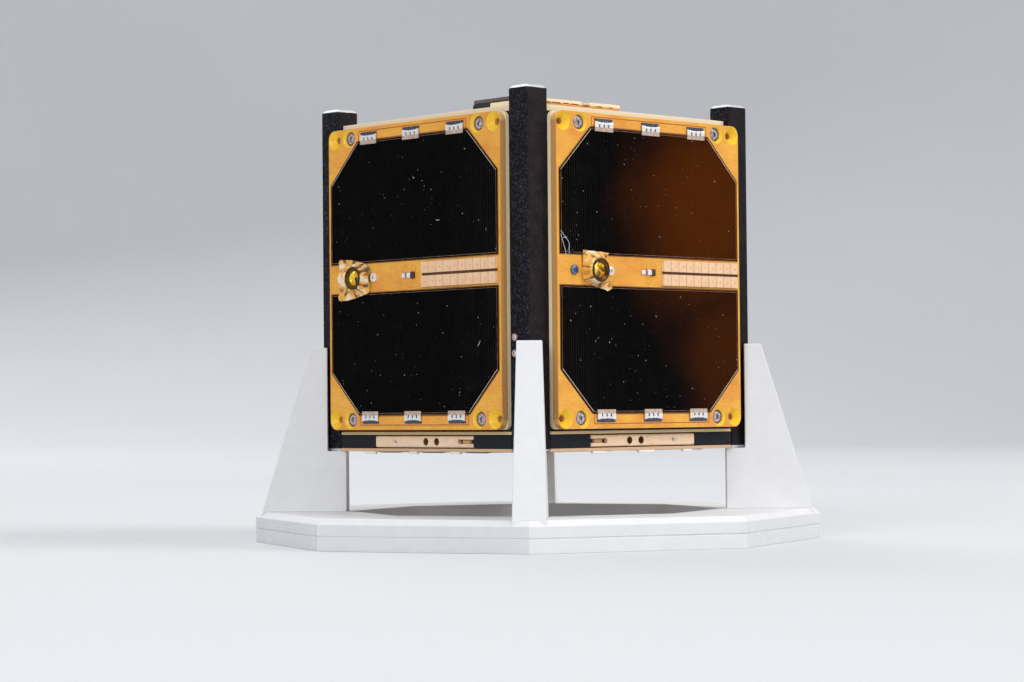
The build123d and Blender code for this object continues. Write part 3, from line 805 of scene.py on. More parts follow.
def zoneFace(mesh):
    # 0 is the film, 1 the cut edge, 2 the countersinks, 3 the bores, painted orange-brown as painted shade
    for polygon in mesh.polygons:
        middle = polygon.center
        apart = min(math.hypot(middle.x - x, middle.y - y) for x, y in seatCentres())
        if apart < panelSizes["seatReach"]:
            flat = polygon.normal.z > 0.95 and middle.z > panelFaceOut - 0.1
            bore = apart < panelSizes["holeReach"] or polygon.normal.z < 0.3
            polygon.material_index = 0 if flat else (3 if bore else 2)
        else:
            polygon.material_index = 0 if polygon.normal.z > 0.35 else 1


def zoneBoard(mesh):
    # 0 is the board, 1 its bores, painted orange-brown as painted shade, 2 its part of the countersinks
    for polygon in mesh.polygons:
        apart = min(math.hypot(polygon.center.x - x, polygon.center.y - y) for x, y in seatCentres())
        bore = apart < panelSizes["boreReach"] and abs(polygon.normal.z) < 0.5
        sunk = apart < panelSizes["seatReach"] and 0.5 < polygon.normal.z < 0.95
        polygon.material_index = 1 if bore else (2 if sunk else 0)


panelBoard = softened(nodeCopy("solar_board_yminus", sidePlace("yminus")), panelSizes["boardRounding"])
zoneBoard(panelBoard)
panelFace = nodeCopy("solar_face_yminus", sidePlace("yminus"))
zoneFace(panelFace)
panelFace = softened(panelFace, panelSizes["faceRounding"])
onEachSide("panelBoard", [panelBoard], sidePlace, ["creamSide", "borePaintedShade", "seatGold"],
           "solar_board")
onEachSide("panelFace", [panelFace], sidePlace,
           ["amberFilm", "amberEdge", "seatGold", "borePaintedShade"], "solar_face")
print("panels made")


# Solar cells: dark plate, busbar round its edge, grid lines

cellSizes = {"half": 40.45, "crop": 13.6, "upper": (91.3, 131.1), "lower": (41.9, 81.5), "surface": 3.4,
             "plate": 0.255, "busbarInset": 0.42, "busbarWidth": 0.16, "pitch": 1.03, "lineWidth": 0.075,
             "lineThick": 0.02, "rounding": 0.06}


def cellOutline(low, high, inset=0.0):
    # Cropped corners are at the high end
    half = cellSizes["half"]
    crop = cellSizes["crop"]
    outline = [(-half, low), (half, low), (half, high - crop), (half - crop, high), (crop - half, high),
               (-half, high - crop)]
    return insetOutline(outline, inset) if inset else outline


def cellOutlines(inset):
    # Both cells of a side; the lower one's cropped corners are at its low end
    lower = [(x, sum(cellSizes["lower"]) - y) for x, y in cellOutline(*cellSizes["lower"], inset)]
    return cellOutline(*cellSizes["upper"], inset), lower[::-1]


def cellMesh(low, high, base):
    # Plate is finish 0, busbar 1 on the cropped corners, where it is painted bright as a painted glint, and
    # 3 elsewhere, where it is painted dim as painted shade, grid lines 2
    top = base + cellSizes["plate"]
    bm = bmesh.new()
    addPrism(bm, cellOutline(low, high), (base, top), 0)
    plate = softened(toMesh(bm, "plate"), cellSizes["rounding"], 1)
    bm = bmesh.new()
    bm.from_mesh(plate)
    addFrameLine(bm, cellOutline(low, high, cellSizes["busbarInset"]), cellSizes["busbarWidth"],
                 (top - 0.01, top + cellSizes["lineThick"]), runs=(3, 3, 1, 3, 1, 3))
    inset = cellSizes["busbarInset"] + cellSizes["busbarWidth"] / 2
    half = cellSizes["half"] - inset
    count = int(2 * (half - 0.3) / cellSizes["pitch"]) + 1
    crop = cellSizes["crop"] - inset * (2 - math.sqrt(2))
    lines = runTree(trees["gridLines"], bpy.data.meshes.new("lines"), {
        "Count": count, "Pitch": cellSizes["pitch"], "Width": cellSizes["lineWidth"],
        "Thick": cellSizes["lineThick"] + 0.01, "Half Width": half, "Low": low + inset, "High": high - inset,
        "Crop": crop, "Base": top - 0.01, "Material": finishes["line"]})
    bm.from_mesh(wearing(lines, 2))
    return freed(bm, "cell")


def upsideDown(mesh, low, high):
    turned = mesh.copy()
    middle = Vector((0, (low + high) / 2, 0))
    turned.transform(Matrix.Translation(middle) @ Matrix.Rotation(math.pi, 4, "Z")
                     @ Matrix.Translation(-middle))
    return turned


upperCell = cellMesh(*cellSizes["upper"], cellSizes["surface"])
lowerCell = upsideDown(cellMesh(*cellSizes["lower"], cellSizes["surface"]), *cellSizes["lower"])
cellFinishes = ["cell", "busbar", "line", "busbarPaintedShade"]
onEachSide("solarCells", [upperCell, lowerCell], fittingPlace, cellFinishes, "solar_cells")
print("side cells made")


# Cell tabs: foil with slots over the cell's edge, arched, soldered at the outer end; the outer end is
# painted dark as solder and painted shade, and dark plates of painted shade lie under the slots

tabSizes = {"width": 8.0, "length": 4.0, "foot": 1.3, "slotEnd": 2.2, "slots": 3, "slotWidth": 0.6,
            "thick": 0.09, "shadeArch": (2.75, 3.15), "places": (-21.0, 0.0, 21.0), "highEdge": 131.1,
            "lowEdge": 41.9, "overlap": 1.1, "highest": 3.895, "slotShadeFloor": (3.39, 3.55)}
tabProfile = [(0.0, 3.70), (0.9, 3.70), (1.3, 3.73), (1.7, 3.78), (2.1, 3.80), (2.5, 3.80), (2.9, 3.74),
              (3.2, 3.60), (3.5, 3.48), (4.0, 3.42)]


def tabHeight(along):
    for (a, low), (b, high) in zip(tabProfile, tabProfile[1:]):
        if along <= b:
            return low + (high - low) * (along - a) / (b - a)
    return tabProfile[-1][1]


def tabMesh():
    # Runs from the cell onto the panel; finish 0 is foil, 1 the foot, 2 the dark arched end, solder that is
    # partly painted shade, 3 the brown plates under the slots, painted shade
    bm = bmesh.new()
    slot = tabSizes["slotWidth"]
    pitch = tabSizes["width"] / (tabSizes["slots"] + 1)
    ends = [-tabSizes["width"] / 2]
    for i in range(tabSizes["slots"]):
        middle = -tabSizes["width"] / 2 + pitch * (i + 1)
        ends += [middle - slot / 2, middle + slot / 2]
    ends.append(tabSizes["width"] / 2)
    edges = []
    slotColumns = set()
    for i, (left, right) in enumerate(zip(ends, ends[1:])):
        parts = 1 if i % 2 else 3
        if i % 2:
            slotColumns.add(len(edges))
        edges += [left + (right - left) * k / parts for k in range(parts)]
    edges.append(ends[-1])
    steps = [0.0, 0.4, 0.8, tabSizes["foot"], 1.5, 1.75, 2.0, tabSizes["slotEnd"], 2.4, 2.6, 2.75, 2.85,
             2.95, 3.05, 3.15, 3.3, 3.5, 3.7, 3.85, tabSizes["length"]]
    top = {}
    under = {}
    for i, across in enumerate(edges):
        for j, along in enumerate(steps):
            sag = 0.04 * math.cos(across * 2 * math.pi / pitch) * min(1.0, along / 2)
            height = tabHeight(along) + (sag if 0.9 < along < 3.6 else 0)
            top[i, j] = bm.verts.new((across, along, min(height + tabSizes["thick"], tabSizes["highest"])))
            under[i, j] = bm.verts.new((across, along, height))
    filled = {}
    for i in range(len(edges) - 1):
        for j in range(len(steps) - 1):
            inSlot = i in slotColumns and tabSizes["foot"] <= steps[j] < tabSizes["slotEnd"]
            filled[i, j] = not inSlot
    for (i, j), solid in filled.items():
        if not solid:
            continue
        # The dark end reaches further in at the sides, in an arch: painted shade on the foil's downward
        # slope
        across = (edges[i] + edges[i + 1]) / tabSizes["width"]
        shadeFrom = tabSizes["shadeArch"][0] + (tabSizes["shadeArch"][1] - tabSizes["shadeArch"][0]) * across ** 2
        finish = 1 if steps[j] < tabSizes["foot"] else (2 if steps[j] >= shadeFrom else 0)
        above = (top[i, j], top[i + 1, j], top[i + 1, j + 1], top[i, j + 1])
        below = (under[i, j], under[i, j + 1], under[i + 1, j + 1], under[i + 1, j])
        for face in (above, below):
            bm.faces.new(face).material_index = finish
        for (di, dj), (a, b) in (((-1, 0), ((i, j), (i, j + 1))), ((1, 0), ((i + 1, j + 1), (i + 1, j))),
                                 ((0, -1), ((i + 1, j), (i, j))), ((0, 1), ((i, j + 1), (i + 1, j + 1)))):
            if not filled.get((i + di, j + dj), False):
                bm.faces.new((top[a], under[a], under[b], top[b])).material_index = finish
    bmesh.ops.delete(bm, geom=[v for v in bm.verts if not v.link_faces], context="VERTS")
    # Dark brown plates under the slots stand for the shade in them: painted shade
    for column in slotColumns:
        addBlock(bm, (edges[column] - 0.03, edges[column + 1] + 0.03),
                 (tabSizes["overlap"] + 0.06, tabSizes["slotEnd"] + 0.1), tabSizes["slotShadeFloor"], 3)
    return smoothed(toMesh(bm, "tab"), 35)


def splitByFinish(mesh, finish):
    # The part of a mesh that has one finish, because a tree gives all its copies one material
    bm = bmesh.new()
    bm.from_mesh(mesh)
    bmesh.ops.delete(bm, geom=[f for f in bm.faces if f.material_index != finish], context="FACES")
    return freed(bm, mesh.name)


def tabRow(places):
    joined = bmesh.new()
    for finish, material in enumerate(tabFinishes):
        joined.from_mesh(copiesAt(splitByFinish(tab, finish), places, material, finish))
    bmesh.ops.remove_doubles(joined, verts=joined.verts, dist=0.0005)
    mesh = freed(joined, "tabs")
    mesh.set_sharp_from_angle(angle=math.radians(35))
    return mesh


tabFinishes = ["tab", "tabFoot", "solderAndShade", "darkBrown"]
tab = tabMesh()
upperStart = tabSizes["highEdge"] - tabSizes["overlap"]
lowerStart = tabSizes["lowEdge"] + tabSizes["overlap"]
sideTabs = tabRow([(across, upperStart, 0, 0) for across in tabSizes["places"]]
                  + [(across, lowerStart, 0, 180) for across in tabSizes["places"]])
onEachSide("cellTabs", [sideTabs], fittingPlace, tabFinishes, "cell_tabs")
print("side tabs made")


# Screws: socket heads, sunk at the corners and proud in the middle strip

screwSizes = {"headTop": 2.4, "headWidth": 4.3, "headThick": 1.3, "socket": 1.5, "socketDepth": 0.7,
              "smallTop": 4.2, "smallWidth": 3.0, "smallThick": 0.8, "smallAcross": (-34.4, -18.7),
              "spin": 1.0}


def screwMesh(width, thick, socket, depth, shank):
    # Top at 0; finish 0 is its edge, 1 its top, 2 and 3 the walls and floor of the hexagon socket
    half = width / 2
    bm = bmesh.new()
    sides = 6
    outer = [(half - 0.50, 0.0), (half - 0.40, -0.05), (half - 0.10, -0.09), (half, -0.24), (half, -thick),
             (shank / 2, -thick), (shank / 2, -thick - 0.8)]
    steps = 36
    rings = [ringOf(bm, (0, 0), reach, out, steps) for reach, out in outer]
    for first, second in zip(rings, rings[1:]):
        joinRings(bm, first, second)
    bm.faces.new(rings[-1][::-1])
    rim = []
    floor = []
    for s in range(steps):
        # Point on the hexagon in this direction
        angle = 2 * math.pi * s / steps
        local = (angle + math.pi / sides) % (2 * math.pi / sides) - math.pi / sides
        reach = socket / 2 * math.cos(math.pi / sides) / math.cos(local)
        rim.append(bm.verts.new((reach * math.cos(angle), reach * math.sin(angle), -0.03)))
        floor.append(bm.verts.new((reach * math.cos(angle), reach * math.sin(angle), -depth)))
    joinRings(bm, rings[0], rim, 1)
    joinRings(bm, rim, floor, 2)
    joinRings(bm, floor, [bm.verts.new((0, 0, -depth - 0.15))], 3)
    return smoothed(toMesh(bm, "screw"), 32)


def screwRow(screw, places, looks, seed):
    # One seed turns all four of a screw's parts together
    spin = screwSizes["spin"]
    return [copiesAt(splitByFinish(screw, part), places, look, screwFinishes.index(look), spin, seed)
            for part, look in enumerate(looks)]


screwFinishes = ["steel", "steelPaintedShade", "blueSteel", "steelPaintedGlint"]

# Finishes of each screw's edge, top, socket walls and socket floor; the dark edges and walls are painted
# shade, the pale floors and the pale far screw painted glints
screwLooks = {"corner": ("steelPaintedShade", "steel", "steelPaintedShade", "steelPaintedGlint"),
              "near": ("blueSteel", "blueSteel", "steelPaintedShade", "blueSteel"),
              "far": ("steelPaintedGlint", "steelPaintedGlint", "steelPaintedShade", "steelPaintedGlint")}
smallSize = (screwSizes["smallWidth"], screwSizes["smallThick"])
bigScrew = screwMesh(screwSizes["headWidth"], screwSizes["headThick"], screwSizes["socket"] + 0.25,
                     screwSizes["socketDepth"], 1.9)
smallScrew = screwMesh(*smallSize, screwSizes["socket"], 0.45, 1.7)
paleScrew = screwMesh(*smallSize, screwSizes["socket"] * 0.6, 0.35, 1.7)
for index, side in enumerate(sideTurns):
    corners = [(sign * panelSizes["screwAcross"], up, screwSizes["headTop"], 0) for sign in (-1, 1)
               for up in panelSizes["screwUp"]]
    near, far = [[(across, stripMid, screwSizes["smallTop"], 0)] for across in screwSizes["smallAcross"]]
    screws = screwRow(bigScrew, corners, screwLooks["corner"], 3 + index)
    screws += screwRow(smallScrew, near, screwLooks["near"], 9 + index)
    screws += screwRow(paleScrew, far, screwLooks["far"], 9 + index)
    makePiece("panelScrews_" + side, screws, fittingPlace(side), screwFinishes,
              ["panel_screws_" + side])
print("screws made")


# Sun sensor: dark ring round a wide foil bowl, in a crumpled film that rises round it like a skirt

sensorSizes = {"across": -25.9, "half": 3.75, "foot": 3.4, "rim": 7.05, "mouth": 3.08, "bowl": 2.6,
               "bowlDepth": 1.25, "foilFold": 0.85, "filmThick": 0.05, "skirt": 3.2, "skirtReach": 1.7,
               "petals": 6}

# Corners of each film about the sensor's axis, anticlockwise from the lower right
filmCorners = {"yminus": [(8.2, -5.0), (4.6, -2.0), (4.4, 2.5), (6.0, 5.6), (-5.2, 6.2), (-4.9, 2.3),
                          (-5.0, -0.9), (-4.6, -3.0), (-0.3, -4.9), (5.3, -6.5)],
               "xminus": [(4.4, -5.2), (5.3, -3.6), (5.5, 0.0), (5.0, 3.4), (1.4, 5.2), (-3.3, 6.1),
                          (-9.7, 6.5), (-10.2, 2.2), (-10.4, -1.7), (-10.3, -6.9), (-5.4, -7.1),
                          (-1.8, -6.5)],
               "yplus": [(7.4, -5.6), (6.0, 6.2), (-5.8, 5.4), (-4.6, -4.6), (2.0, -6.9)],
               "xplus": [(6.4, -5.2), (4.4, 5.0), (-2.6, 6.6), (-8.4, 5.4), (-7.0, -6.2)]}


def sensorMesh():
    # Finish 0 is the ring, 1 the wall and floor of its bowl
    half = sensorSizes["half"]
    rim = sensorSizes["rim"]
    foot = sensorSizes["foot"]
    mouth = sensorSizes["mouth"]
    bowl = sensorSizes["bowl"]
    deep = rim - sensorSizes["bowlDepth"]
    profile = [(0, foot), (half - 0.05, foot), (half - 0.05, foot + 0.5), (half - 0.15, foot + 0.65),
               (half - 0.15, rim - 1.3), (half, rim - 1.1), (half, rim - 0.18), (half - 0.08, rim - 0.05),
               (half - 0.20, rim), (mouth + 0.12, rim), (mouth + 0.03, rim - 0.05), (mouth, rim - 0.2),
               (bowl + 0.08, deep + 0.25), (bowl, deep + 0.1), (bowl - 0.1, deep), (0, deep)]
    bands = [0] * 11 + [1] * 4
    bm = bmesh.new()
    addTurned(bm, (sensorSizes["across"], stripMid), profile, 48, bands=bands)
    return smoothed(toMesh(bm, "sensor"), 38)


def foldAt(x, y, seed):
    # Creases between broad facets, from 0 to about 1
    broad = 1 - abs(noise.noise(Vector((x * 0.5, y * 0.5, seed)))) * 2.6
    fine = 1 - abs(noise.noise(Vector((x * 1.3, y * 1.3, seed + 5)))) * 2.4
    return 0.8 * max(0.0, broad) + 0.2 * max(0.0, fine)


def keepFoldShade(mesh, paintedFoldShades):
    # Painted shade and highlight of each point's fold, for the finish to read
    mesh.attributes.new("fold", "FLOAT", "POINT").data.foreach_set("value", paintedFoldShades)


def foilMesh(seed, paintedLight):
    # Crumpled foil in the bowl; its second argument is painted light, how much brighter its colour is on
    # this side, and the foil is painted lighter towards its upper left as painted light
    bm = bmesh.new()
    radius = sensorSizes["bowl"] - 0.04
    deep = sensorSizes["rim"] - sensorSizes["bowlDepth"]
    steps = 56
    rows = 16
    rings = []
    paintedFoldShades = []
    for row in range(1, rows + 1):
        reach = radius * row / rows
        level = sensorSizes["foilFold"] * (1 - (row / rows) ** 5)
        ring = []
        for step in range(steps):
            angle = 2 * math.pi * step / steps
            x = reach * math.cos(angle)
            y = reach * math.sin(angle)
            fold = foldAt(x * 0.9, y * 0.9, seed)
            ring.append(bm.verts.new((sensorSizes["across"] + x, stripMid + y, deep + 0.03 + level * fold)))
            # Painted highlight on ridges and painted light from the upper left, added to this side's painted
            # light
            paintedFoldShades.append(paintedLight + 0.5 * fold + 0.16 * y / radius - 0.16 * x / radius)
        rings.append(ring)
    peak = deep + 0.03 + sensorSizes["foilFold"] * foldAt(0, 0, seed)
    centre = bm.verts.new((sensorSizes["across"], stripMid, peak))
    under = bm.verts.new((sensorSizes["across"], stripMid, deep - 0.05))
    rings = [[centre]] + rings + [[under]]
    for first, second in zip(rings, rings[1:]):
        joinRings(bm, first, second)
    mesh = toMesh(bm, "foil")
    keepFoldShade(mesh, paintedFoldShades + [0.6, 0.3])
    mesh.shade_smooth()
    return mesh


def reachTo(corners, angle):
    # Distance from the middle to a polygon's edge in one direction
    way = Vector((math.cos(angle), math.sin(angle)))
    best = 30.0
    for first, second in zip(corners, corners[1:] + corners[:1]):
        start = Vector(first)
        edge = Vector(second) - start
        crossing = way.x * edge.y - way.y * edge.x
        if abs(crossing) < 1e-9:
            continue
        far = (start.x * edge.y - start.y * edge.x) / crossing
        share = (start.x * way.y - start.y * way.x) / crossing
        if far > 0 and -1e-6 <= share <= 1 + 1e-6:
            best = min(best, far)
    return best


def screwCover(x, y, across):
    # 1 over the small screw beside the sensor, 0 away from it
    off = math.hypot(x - (across - sensorSizes["across"]), y)
    return min(1.0, max(0.0, (2.7 - off) / 0.9))


def filmShape(x, y, apart, angle, seed, fall):
    # Height of the film, and its painted shade and highlight: pale on fold ridges, petals and streaks, dark
    # between; fall is 1 at the ring and 0 at the film's edge
    over = max(0.0, abs(y) - 4.75)
    lying = 3.43 + 0.32 * min(1.0, over / 0.3)
    gone = max(0.0, apart - sensorSizes["half"])
    skirt = math.exp(-(gone / sensorSizes["skirtReach"]) ** 1.6)
    around = noise.noise(Vector((1.4 * math.cos(angle), 1.4 * math.sin(angle), seed)))
    petals = 0.5 + 0.5 * math.sin(sensorSizes["petals"] * angle + 4.2 * around + 0.25 * apart)
    outside = min(1.0, gone / 0.8)
    rise = sensorSizes["skirt"] * skirt * (1 - 0.42 * outside * (1 - petals))
    ridges = 0.9 * outside * petals ** 2 * math.exp(-gone / 3.4)
    fold = foldAt(x, y, seed + 2)
    streak = noise.noise(Vector((4.5 * math.cos(angle), 4.5 * math.sin(angle), 0.35 * apart + seed)))
    covered = max(screwCover(x, y, across) for across in screwSizes["smallAcross"])
    crease = outside * (0.5 * fold + 0.35 * max(0.0, streak)) * (1 - 0.7 * covered)
    height = lying + (rise + ridges) * fall + crease * (0.35 + 0.65 * fall) + 0.95 * covered
    return height, 0.12 + 0.32 * fold + 0.46 * petals + 0.45 * streak


def filmMesh(corners, seed):
    # Rings of points from the sensor's side out to the film's edge
    bm = bmesh.new()
    steps = 150
    rows = 34
    thick = sensorSizes["filmThick"]
    inner = sensorSizes["half"] + 0.02
    rings = []
    paintedFoldShades = []
    for row in range(rows + 1):
        share = (row / rows) ** 1.25
        upper = []
        lower = []
        for step in range(steps):
            angle = 2 * math.pi * step / steps
            ragged = 0.22 * noise.noise(Vector((3 * math.cos(angle), 3 * math.sin(angle), seed)))
            edge = max(inner + 0.9, reachTo(corners, angle) + ragged)
            apart = inner + (edge - inner) * share
            short = min(1.0, max(0.0, (3.4 - (edge - inner)) / 2.0))
            x = apart * math.cos(angle)
            y = apart * math.sin(angle)
            height, fold = filmShape(x, y, apart, angle, seed, 1 - short * (row / rows) ** 3)
            height = min(height, sensorSizes["rim"] - 0.12)
            upper.append(bm.verts.new((sensorSizes["across"] + x, stripMid + y, height + thick)))
            lower.append(bm.verts.new((sensorSizes["across"] + x, stripMid + y, height)))
            paintedFoldShades += [fold, fold]
        rings.append((upper, lower))
    around = [upper for upper, lower in rings] + [lower for upper, lower in rings][::-1]
    for first, second in zip(around, around[1:] + around[:1]):
        joinRings(bm, first, second)
    mesh = toMesh(bm, "film")
    keepFoldShade(mesh, paintedFoldShades)
    return smoothed(mesh, 50)


# How much light is painted into each side's foil
foilPaintedLight = {"yminus": 0.26, "xminus": 0.46, "yplus": 0.30, "xplus": 0.38}
onEachSide("sunSensor", [sensorMesh()], fittingPlace, ["sensorRim", "bowlWall"],
           "sun_sensor")
for index, side in enumerate(sideTurns):
    makePiece("sensorFoil_" + side, [foilMesh(3.1 + 6 * index, foilPaintedLight[side])], fittingPlace(side),
              ["sensorFoil"])
    makePiece("sensorFilm_" + side, [filmMesh(filmCorners[side], 2.0 + 5 * index)], fittingPlace(side),
              ["crinkledFilm"])
print("sun sensors made")


# Contact pads: two rows of plated pads on their bars

contactSizes = {"left": 4.9, "right": 40.1, "base": 3.4, "bar": 4.05, "top": 4.2, "columns": 10,
                "padGap": 0.22, "halfTall": 4.05, "halfGap": 0.425, "dotWidth": 0.6, "rounding": 0.08}


def contactMeshes():
    # Finish 0 is the pads, 1 the bars' sides and the gap between the rows, painted dark as painted shade, 2
    # the dots, 3 the bars' tops, 4 their ends
    pitch = (contactSizes["right"] - contactSizes["left"]) / contactSizes["columns"]
    tall = contactSizes["halfTall"] - contactSizes["halfGap"]
    width = pitch - contactSizes["padGap"]
    bm = bmesh.new()
    addBlock(bm, (-width / 2, width / 2), (-tall / 2, tall / 2),
             (contactSizes["bar"] - 0.02, contactSizes["top"]))
    pad = softened(toMesh(bm, "pad"), contactSizes["rounding"], 2)
    bm = bmesh.new()
    dot = contactSizes["dotWidth"] / 2
    top = contactSizes["top"]
    addTurned(bm, (0.35, -0.15),
              [(0, top - 0.02), (dot, top - 0.02), (dot, top), (dot * 0.7, top), (0, top - 0.01)], 12)
    dots = toMesh(bm, "dot")
    places = []
    for sign in (-1, 1):
        up = stripMid + sign * (contactSizes["halfTall"] + contactSizes["halfGap"]) / 2
        for column in range(contactSizes["columns"]):
            places.append((contactSizes["left"] + pitch * (column + 0.5), up, 0, 0))
    pads = copiesAt(pad, places, "pad")
    marks = copiesAt(dots, places, "padDot", 2)
    bm = bmesh.new()
    for sign in (-1, 1):
        spans = sorted((stripMid + sign * contactSizes["halfGap"],
                        stripMid + sign * contactSizes["halfTall"]))
        addBlock(bm, (contactSizes["left"], contactSizes["right"]), spans,
                 (contactSizes["base"], contactSizes["bar"]), 1)
    for face in bm.faces:
        face.normal_update()
        if face.normal.z > 0.9:
            face.material_index = 3
        if abs(face.normal.x) > 0.9:
            face.material_index = 4
    across = contactSizes["right"] - 0.14
    addBlock(bm, (across, across + 0.12), (stripMid - contactSizes["halfTall"] + 0.05,
                                           stripMid + contactSizes["halfTall"] - 0.05),
             (contactSizes["base"], contactSizes["bar"] + 0.03), 1)
    # Dark strip in the gap between the rows: painted shade
    addBlock(bm, (contactSizes["left"] + 0.1, contactSizes["right"] - 0.1),
             (stripMid - contactSizes["halfGap"] - 0.1, stripMid + contactSizes["halfGap"] + 0.1),
             (contactSizes["base"], contactSizes["base"] + 0.25), 1)
    return [pads, marks, softened(toMesh(bm, "bars"), 0.06, 1)]


onEachSide("contactPads", contactMeshes(), fittingPlace,
           ["pad", "padPaintedShade", "padDot", "padBetween", "creamLevel"], "contact_block")
print("contact pads made")


# Chip in the middle strip, and the thin outlines on the panel's film

# Each block's span, reach below and above the strip's middle, top, and finish: 0 is dark, 1 pale, 2 grey
chipBlocks = (((-4.6, -3.1), 0.75, 0.72, 4.1, 1), ((-3.12, -2.05), 0.80, 1.0, 3.95, 2),
              ((-2.1, -0.4), 0.85, 0.82, 4.2, 1), ((-0.42, 1.4), 1.1, 1.1, 4.15, 0))


def chipMesh():
    bm = bmesh.new()
    for across, below, above, top, finish in chipBlocks:
        addBlock(bm, across, (stripMid - below, stripMid + above), (drawnSurface, top), finish)
    return softened(toMesh(bm, "chip"), 0.36, 4)


chip = chipMesh()
chips = [laidOut(chip, fittingPlace(side)) for side in sideTurns]
makePiece("stripChips", chips, rowPlace, ["chipDark", "chipEnd", "chipGrey"], ["strip_chips"])


def arcOutline(across, up, radius, steps=24):
    return [(across + radius * math.cos(2 * math.pi * s / steps),
             up + radius * math.sin(2 * math.pi * s / steps)) for s in range(steps)]


markSizes = {"band": (3.39, 3.43), "tabLine": 0.34, "tabReach": 26.3,
             "tabSpans": ((131.3, 134.6), (38.4, 41.7)), "chipLine": 0.20,
             "loops": ((-4.45, -2.0, 87.3, 89.7), (-0.28, 1.8, 87.3, 89.8)), "dot": (-1.5, 83.4, 1.1),
             "cellLine": 0.19, "cellApart": 0.27}


def loopOutline(left, right, low, high, steps=10):
    # Upright slot shape with a round top, anticlockwise
    radius = (right - left) / 2
    middle = (left + right) / 2
    crown = [(middle + radius * math.cos(math.pi * s / steps),
              high - radius + radius * math.sin(math.pi * s / steps)) for s in range(steps + 1)]
    return [(left, low), (right, low)] + crown


def marksMesh():
    # Finish 0 is round the tabs, 1 round the cells, 2 the loops by the chip
    bm = bmesh.new()
    band = markSizes["band"]
    reach = markSizes["tabReach"]
    for bottom, top in markSizes["tabSpans"]:
        addFrameLine(bm, [(-reach, bottom), (reach, bottom), (reach, top), (-reach, top)],
                     markSizes["tabLine"], band)
    for outline in [loopOutline(*loop) for loop in markSizes["loops"]] + [arcOutline(*markSizes["dot"])]:
        addFrameLine(bm, outline, markSizes["chipLine"], band, 2)
    for outline in cellOutlines(-markSizes["cellApart"]):
        addFrameLine(bm, outline, markSizes["cellLine"], band, 1)
    return toMesh(bm, "marks")


marks = marksMesh()
for side in sideTurns:
    makePiece("panelMarks_" + side, [marks], fittingPlace(side),
              ["mark", "darkBrown", "loopBrown"])
print("chips and marks made")


# Dust on the cells, and a few hairs by the sun sensor

dustSizes = {"density": 0.032, "smallest": 0.10, "largest": 0.46, "inset": 0.8, "hairRadius": 0.08}

# Fine hairs that lie on the cells: points across and up, by side
hairRuns = {"yminus": [[(-40.3, 98.3), (-39.0, 97.0), (-38.1, 96.2), (-37.1, 95.1), (-36.5, 94.1),
                        (-36.9, 92.6)],
                       [(-40.3, 97.3), (-39.8, 95.7), (-38.9, 93.6), (-38.3, 92.0), (-38.2, 90.9)],
                       [(-39.4, 96.3), (-38.5, 96.0), (-37.7, 96.4)],
                       [(-36.9, 93.0), (-36.6, 92.1), (-36.8, 91.3)]],
            "xminus": [[(31.0, 63.0), (31.8, 63.6), (32.2, 64.6)],
                       [(12.0, 103.5), (12.7, 103.1), (13.6, 103.3)]],
            "yplus": [[(-12.0, 118.0), (-10.6, 117.2), (-9.8, 115.6), (-10.2, 114.2)]],
            "xplus": [[(22.0, 56.0), (23.2, 57.0), (24.8, 57.1)],
                      [(-30.0, 99.0), (-29.0, 97.8), (-28.6, 96.0)]]}
for index, side in enumerate(sideTurns):
    bm = bmesh.new()
    top = cellSizes["surface"] + cellSizes["plate"] + 0.012
    for outline in cellOutlines(dustSizes["inset"]):
        bm.faces.new([bm.verts.new((x, y, top)) for x, y in outline])
    flakes = runTree(trees["dust"], toMesh(bm, "surface"), {
        "Density": dustSizes["density"], "Smallest": dustSizes["smallest"], "Largest": dustSizes["largest"],
        "Seed": 11 + index, "Material": finishes["dust"]})
    hairs = []
    for run in hairRuns[side]:
        hair = threadAlong([(x, y, top + 0.06 + 0.1 * (k % 2)) for k, (x, y) in enumerate(run)],
                           dustSizes["hairRadius"])
        hair.shade_smooth()
        hairs.append(wearing(hair, 1))
    makePiece("cellDust_" + side, [wearing(flakes, 0)] + hairs, fittingPlace(side),
              ["dust", "hair"])
print("dust made")


# Top of the satellite: cells, tabs, contact strips, connector

topSizes = {"surface": 137.9, "inner": 0.8, "outer": 40.6}


def levelPlace(turn, height, down=False):
    # Lays a drawing flat: its Y axis points outward along X+ when turned by -90 degrees
    flip = Matrix.Rotation(math.pi, 4, "Y") if down else Matrix.Identity(4)
    return (Matrix.Translation((0, 0, height * mm)) @ Matrix.Rotation(math.radians(turn), 4, "Z") @ flip
            @ Matrix.Scale(mm, 4))


def bothHalves(mesh, height, down=False):
    # The mesh laid towards X+ and towards X-
    return [laidOut(mesh, levelPlace(turn, height, down)) for turn in (-90, 90)]


topCell = cellMesh(topSizes["inner"], topSizes["outer"], 0.0)
makePiece("topCells", bothHalves(topCell, topSizes["surface"]), rowPlace, cellFinishes,
          ["top_cells"])
tab = tab.copy()
tab.transform(Matrix.Translation((0, 0, -drawnSurface)))
topTabs = tabRow([(across, topSizes["outer"] - tabSizes["overlap"], 0, 0) for across in tabSizes["places"]])
makePiece("topTabs", bothHalves(topTabs, topSizes["surface"]), rowPlace, tabFinishes,
          ["top_tabs"])

bottomSizes = {"surface": 30.0, "inner": 4.9, "outer": 44.7}
bottomCell = cellMesh(bottomSizes["inner"], bottomSizes["outer"], 0.0)
makePiece("bottomCells", bothHalves(bottomCell, bottomSizes["surface"], True), rowPlace,
          cellFinishes, ["bottom_cells"])
bottomTabs = tabRow([(across, bottomSizes["outer"] - tabSizes["overlap"], 0, 0)
                     for across in tabSizes["places"]])
makePiece("bottomTabs", bothHalves(bottomTabs, bottomSizes["surface"], True), rowPlace,
          tabFinishes, ["bottom_tabs"])

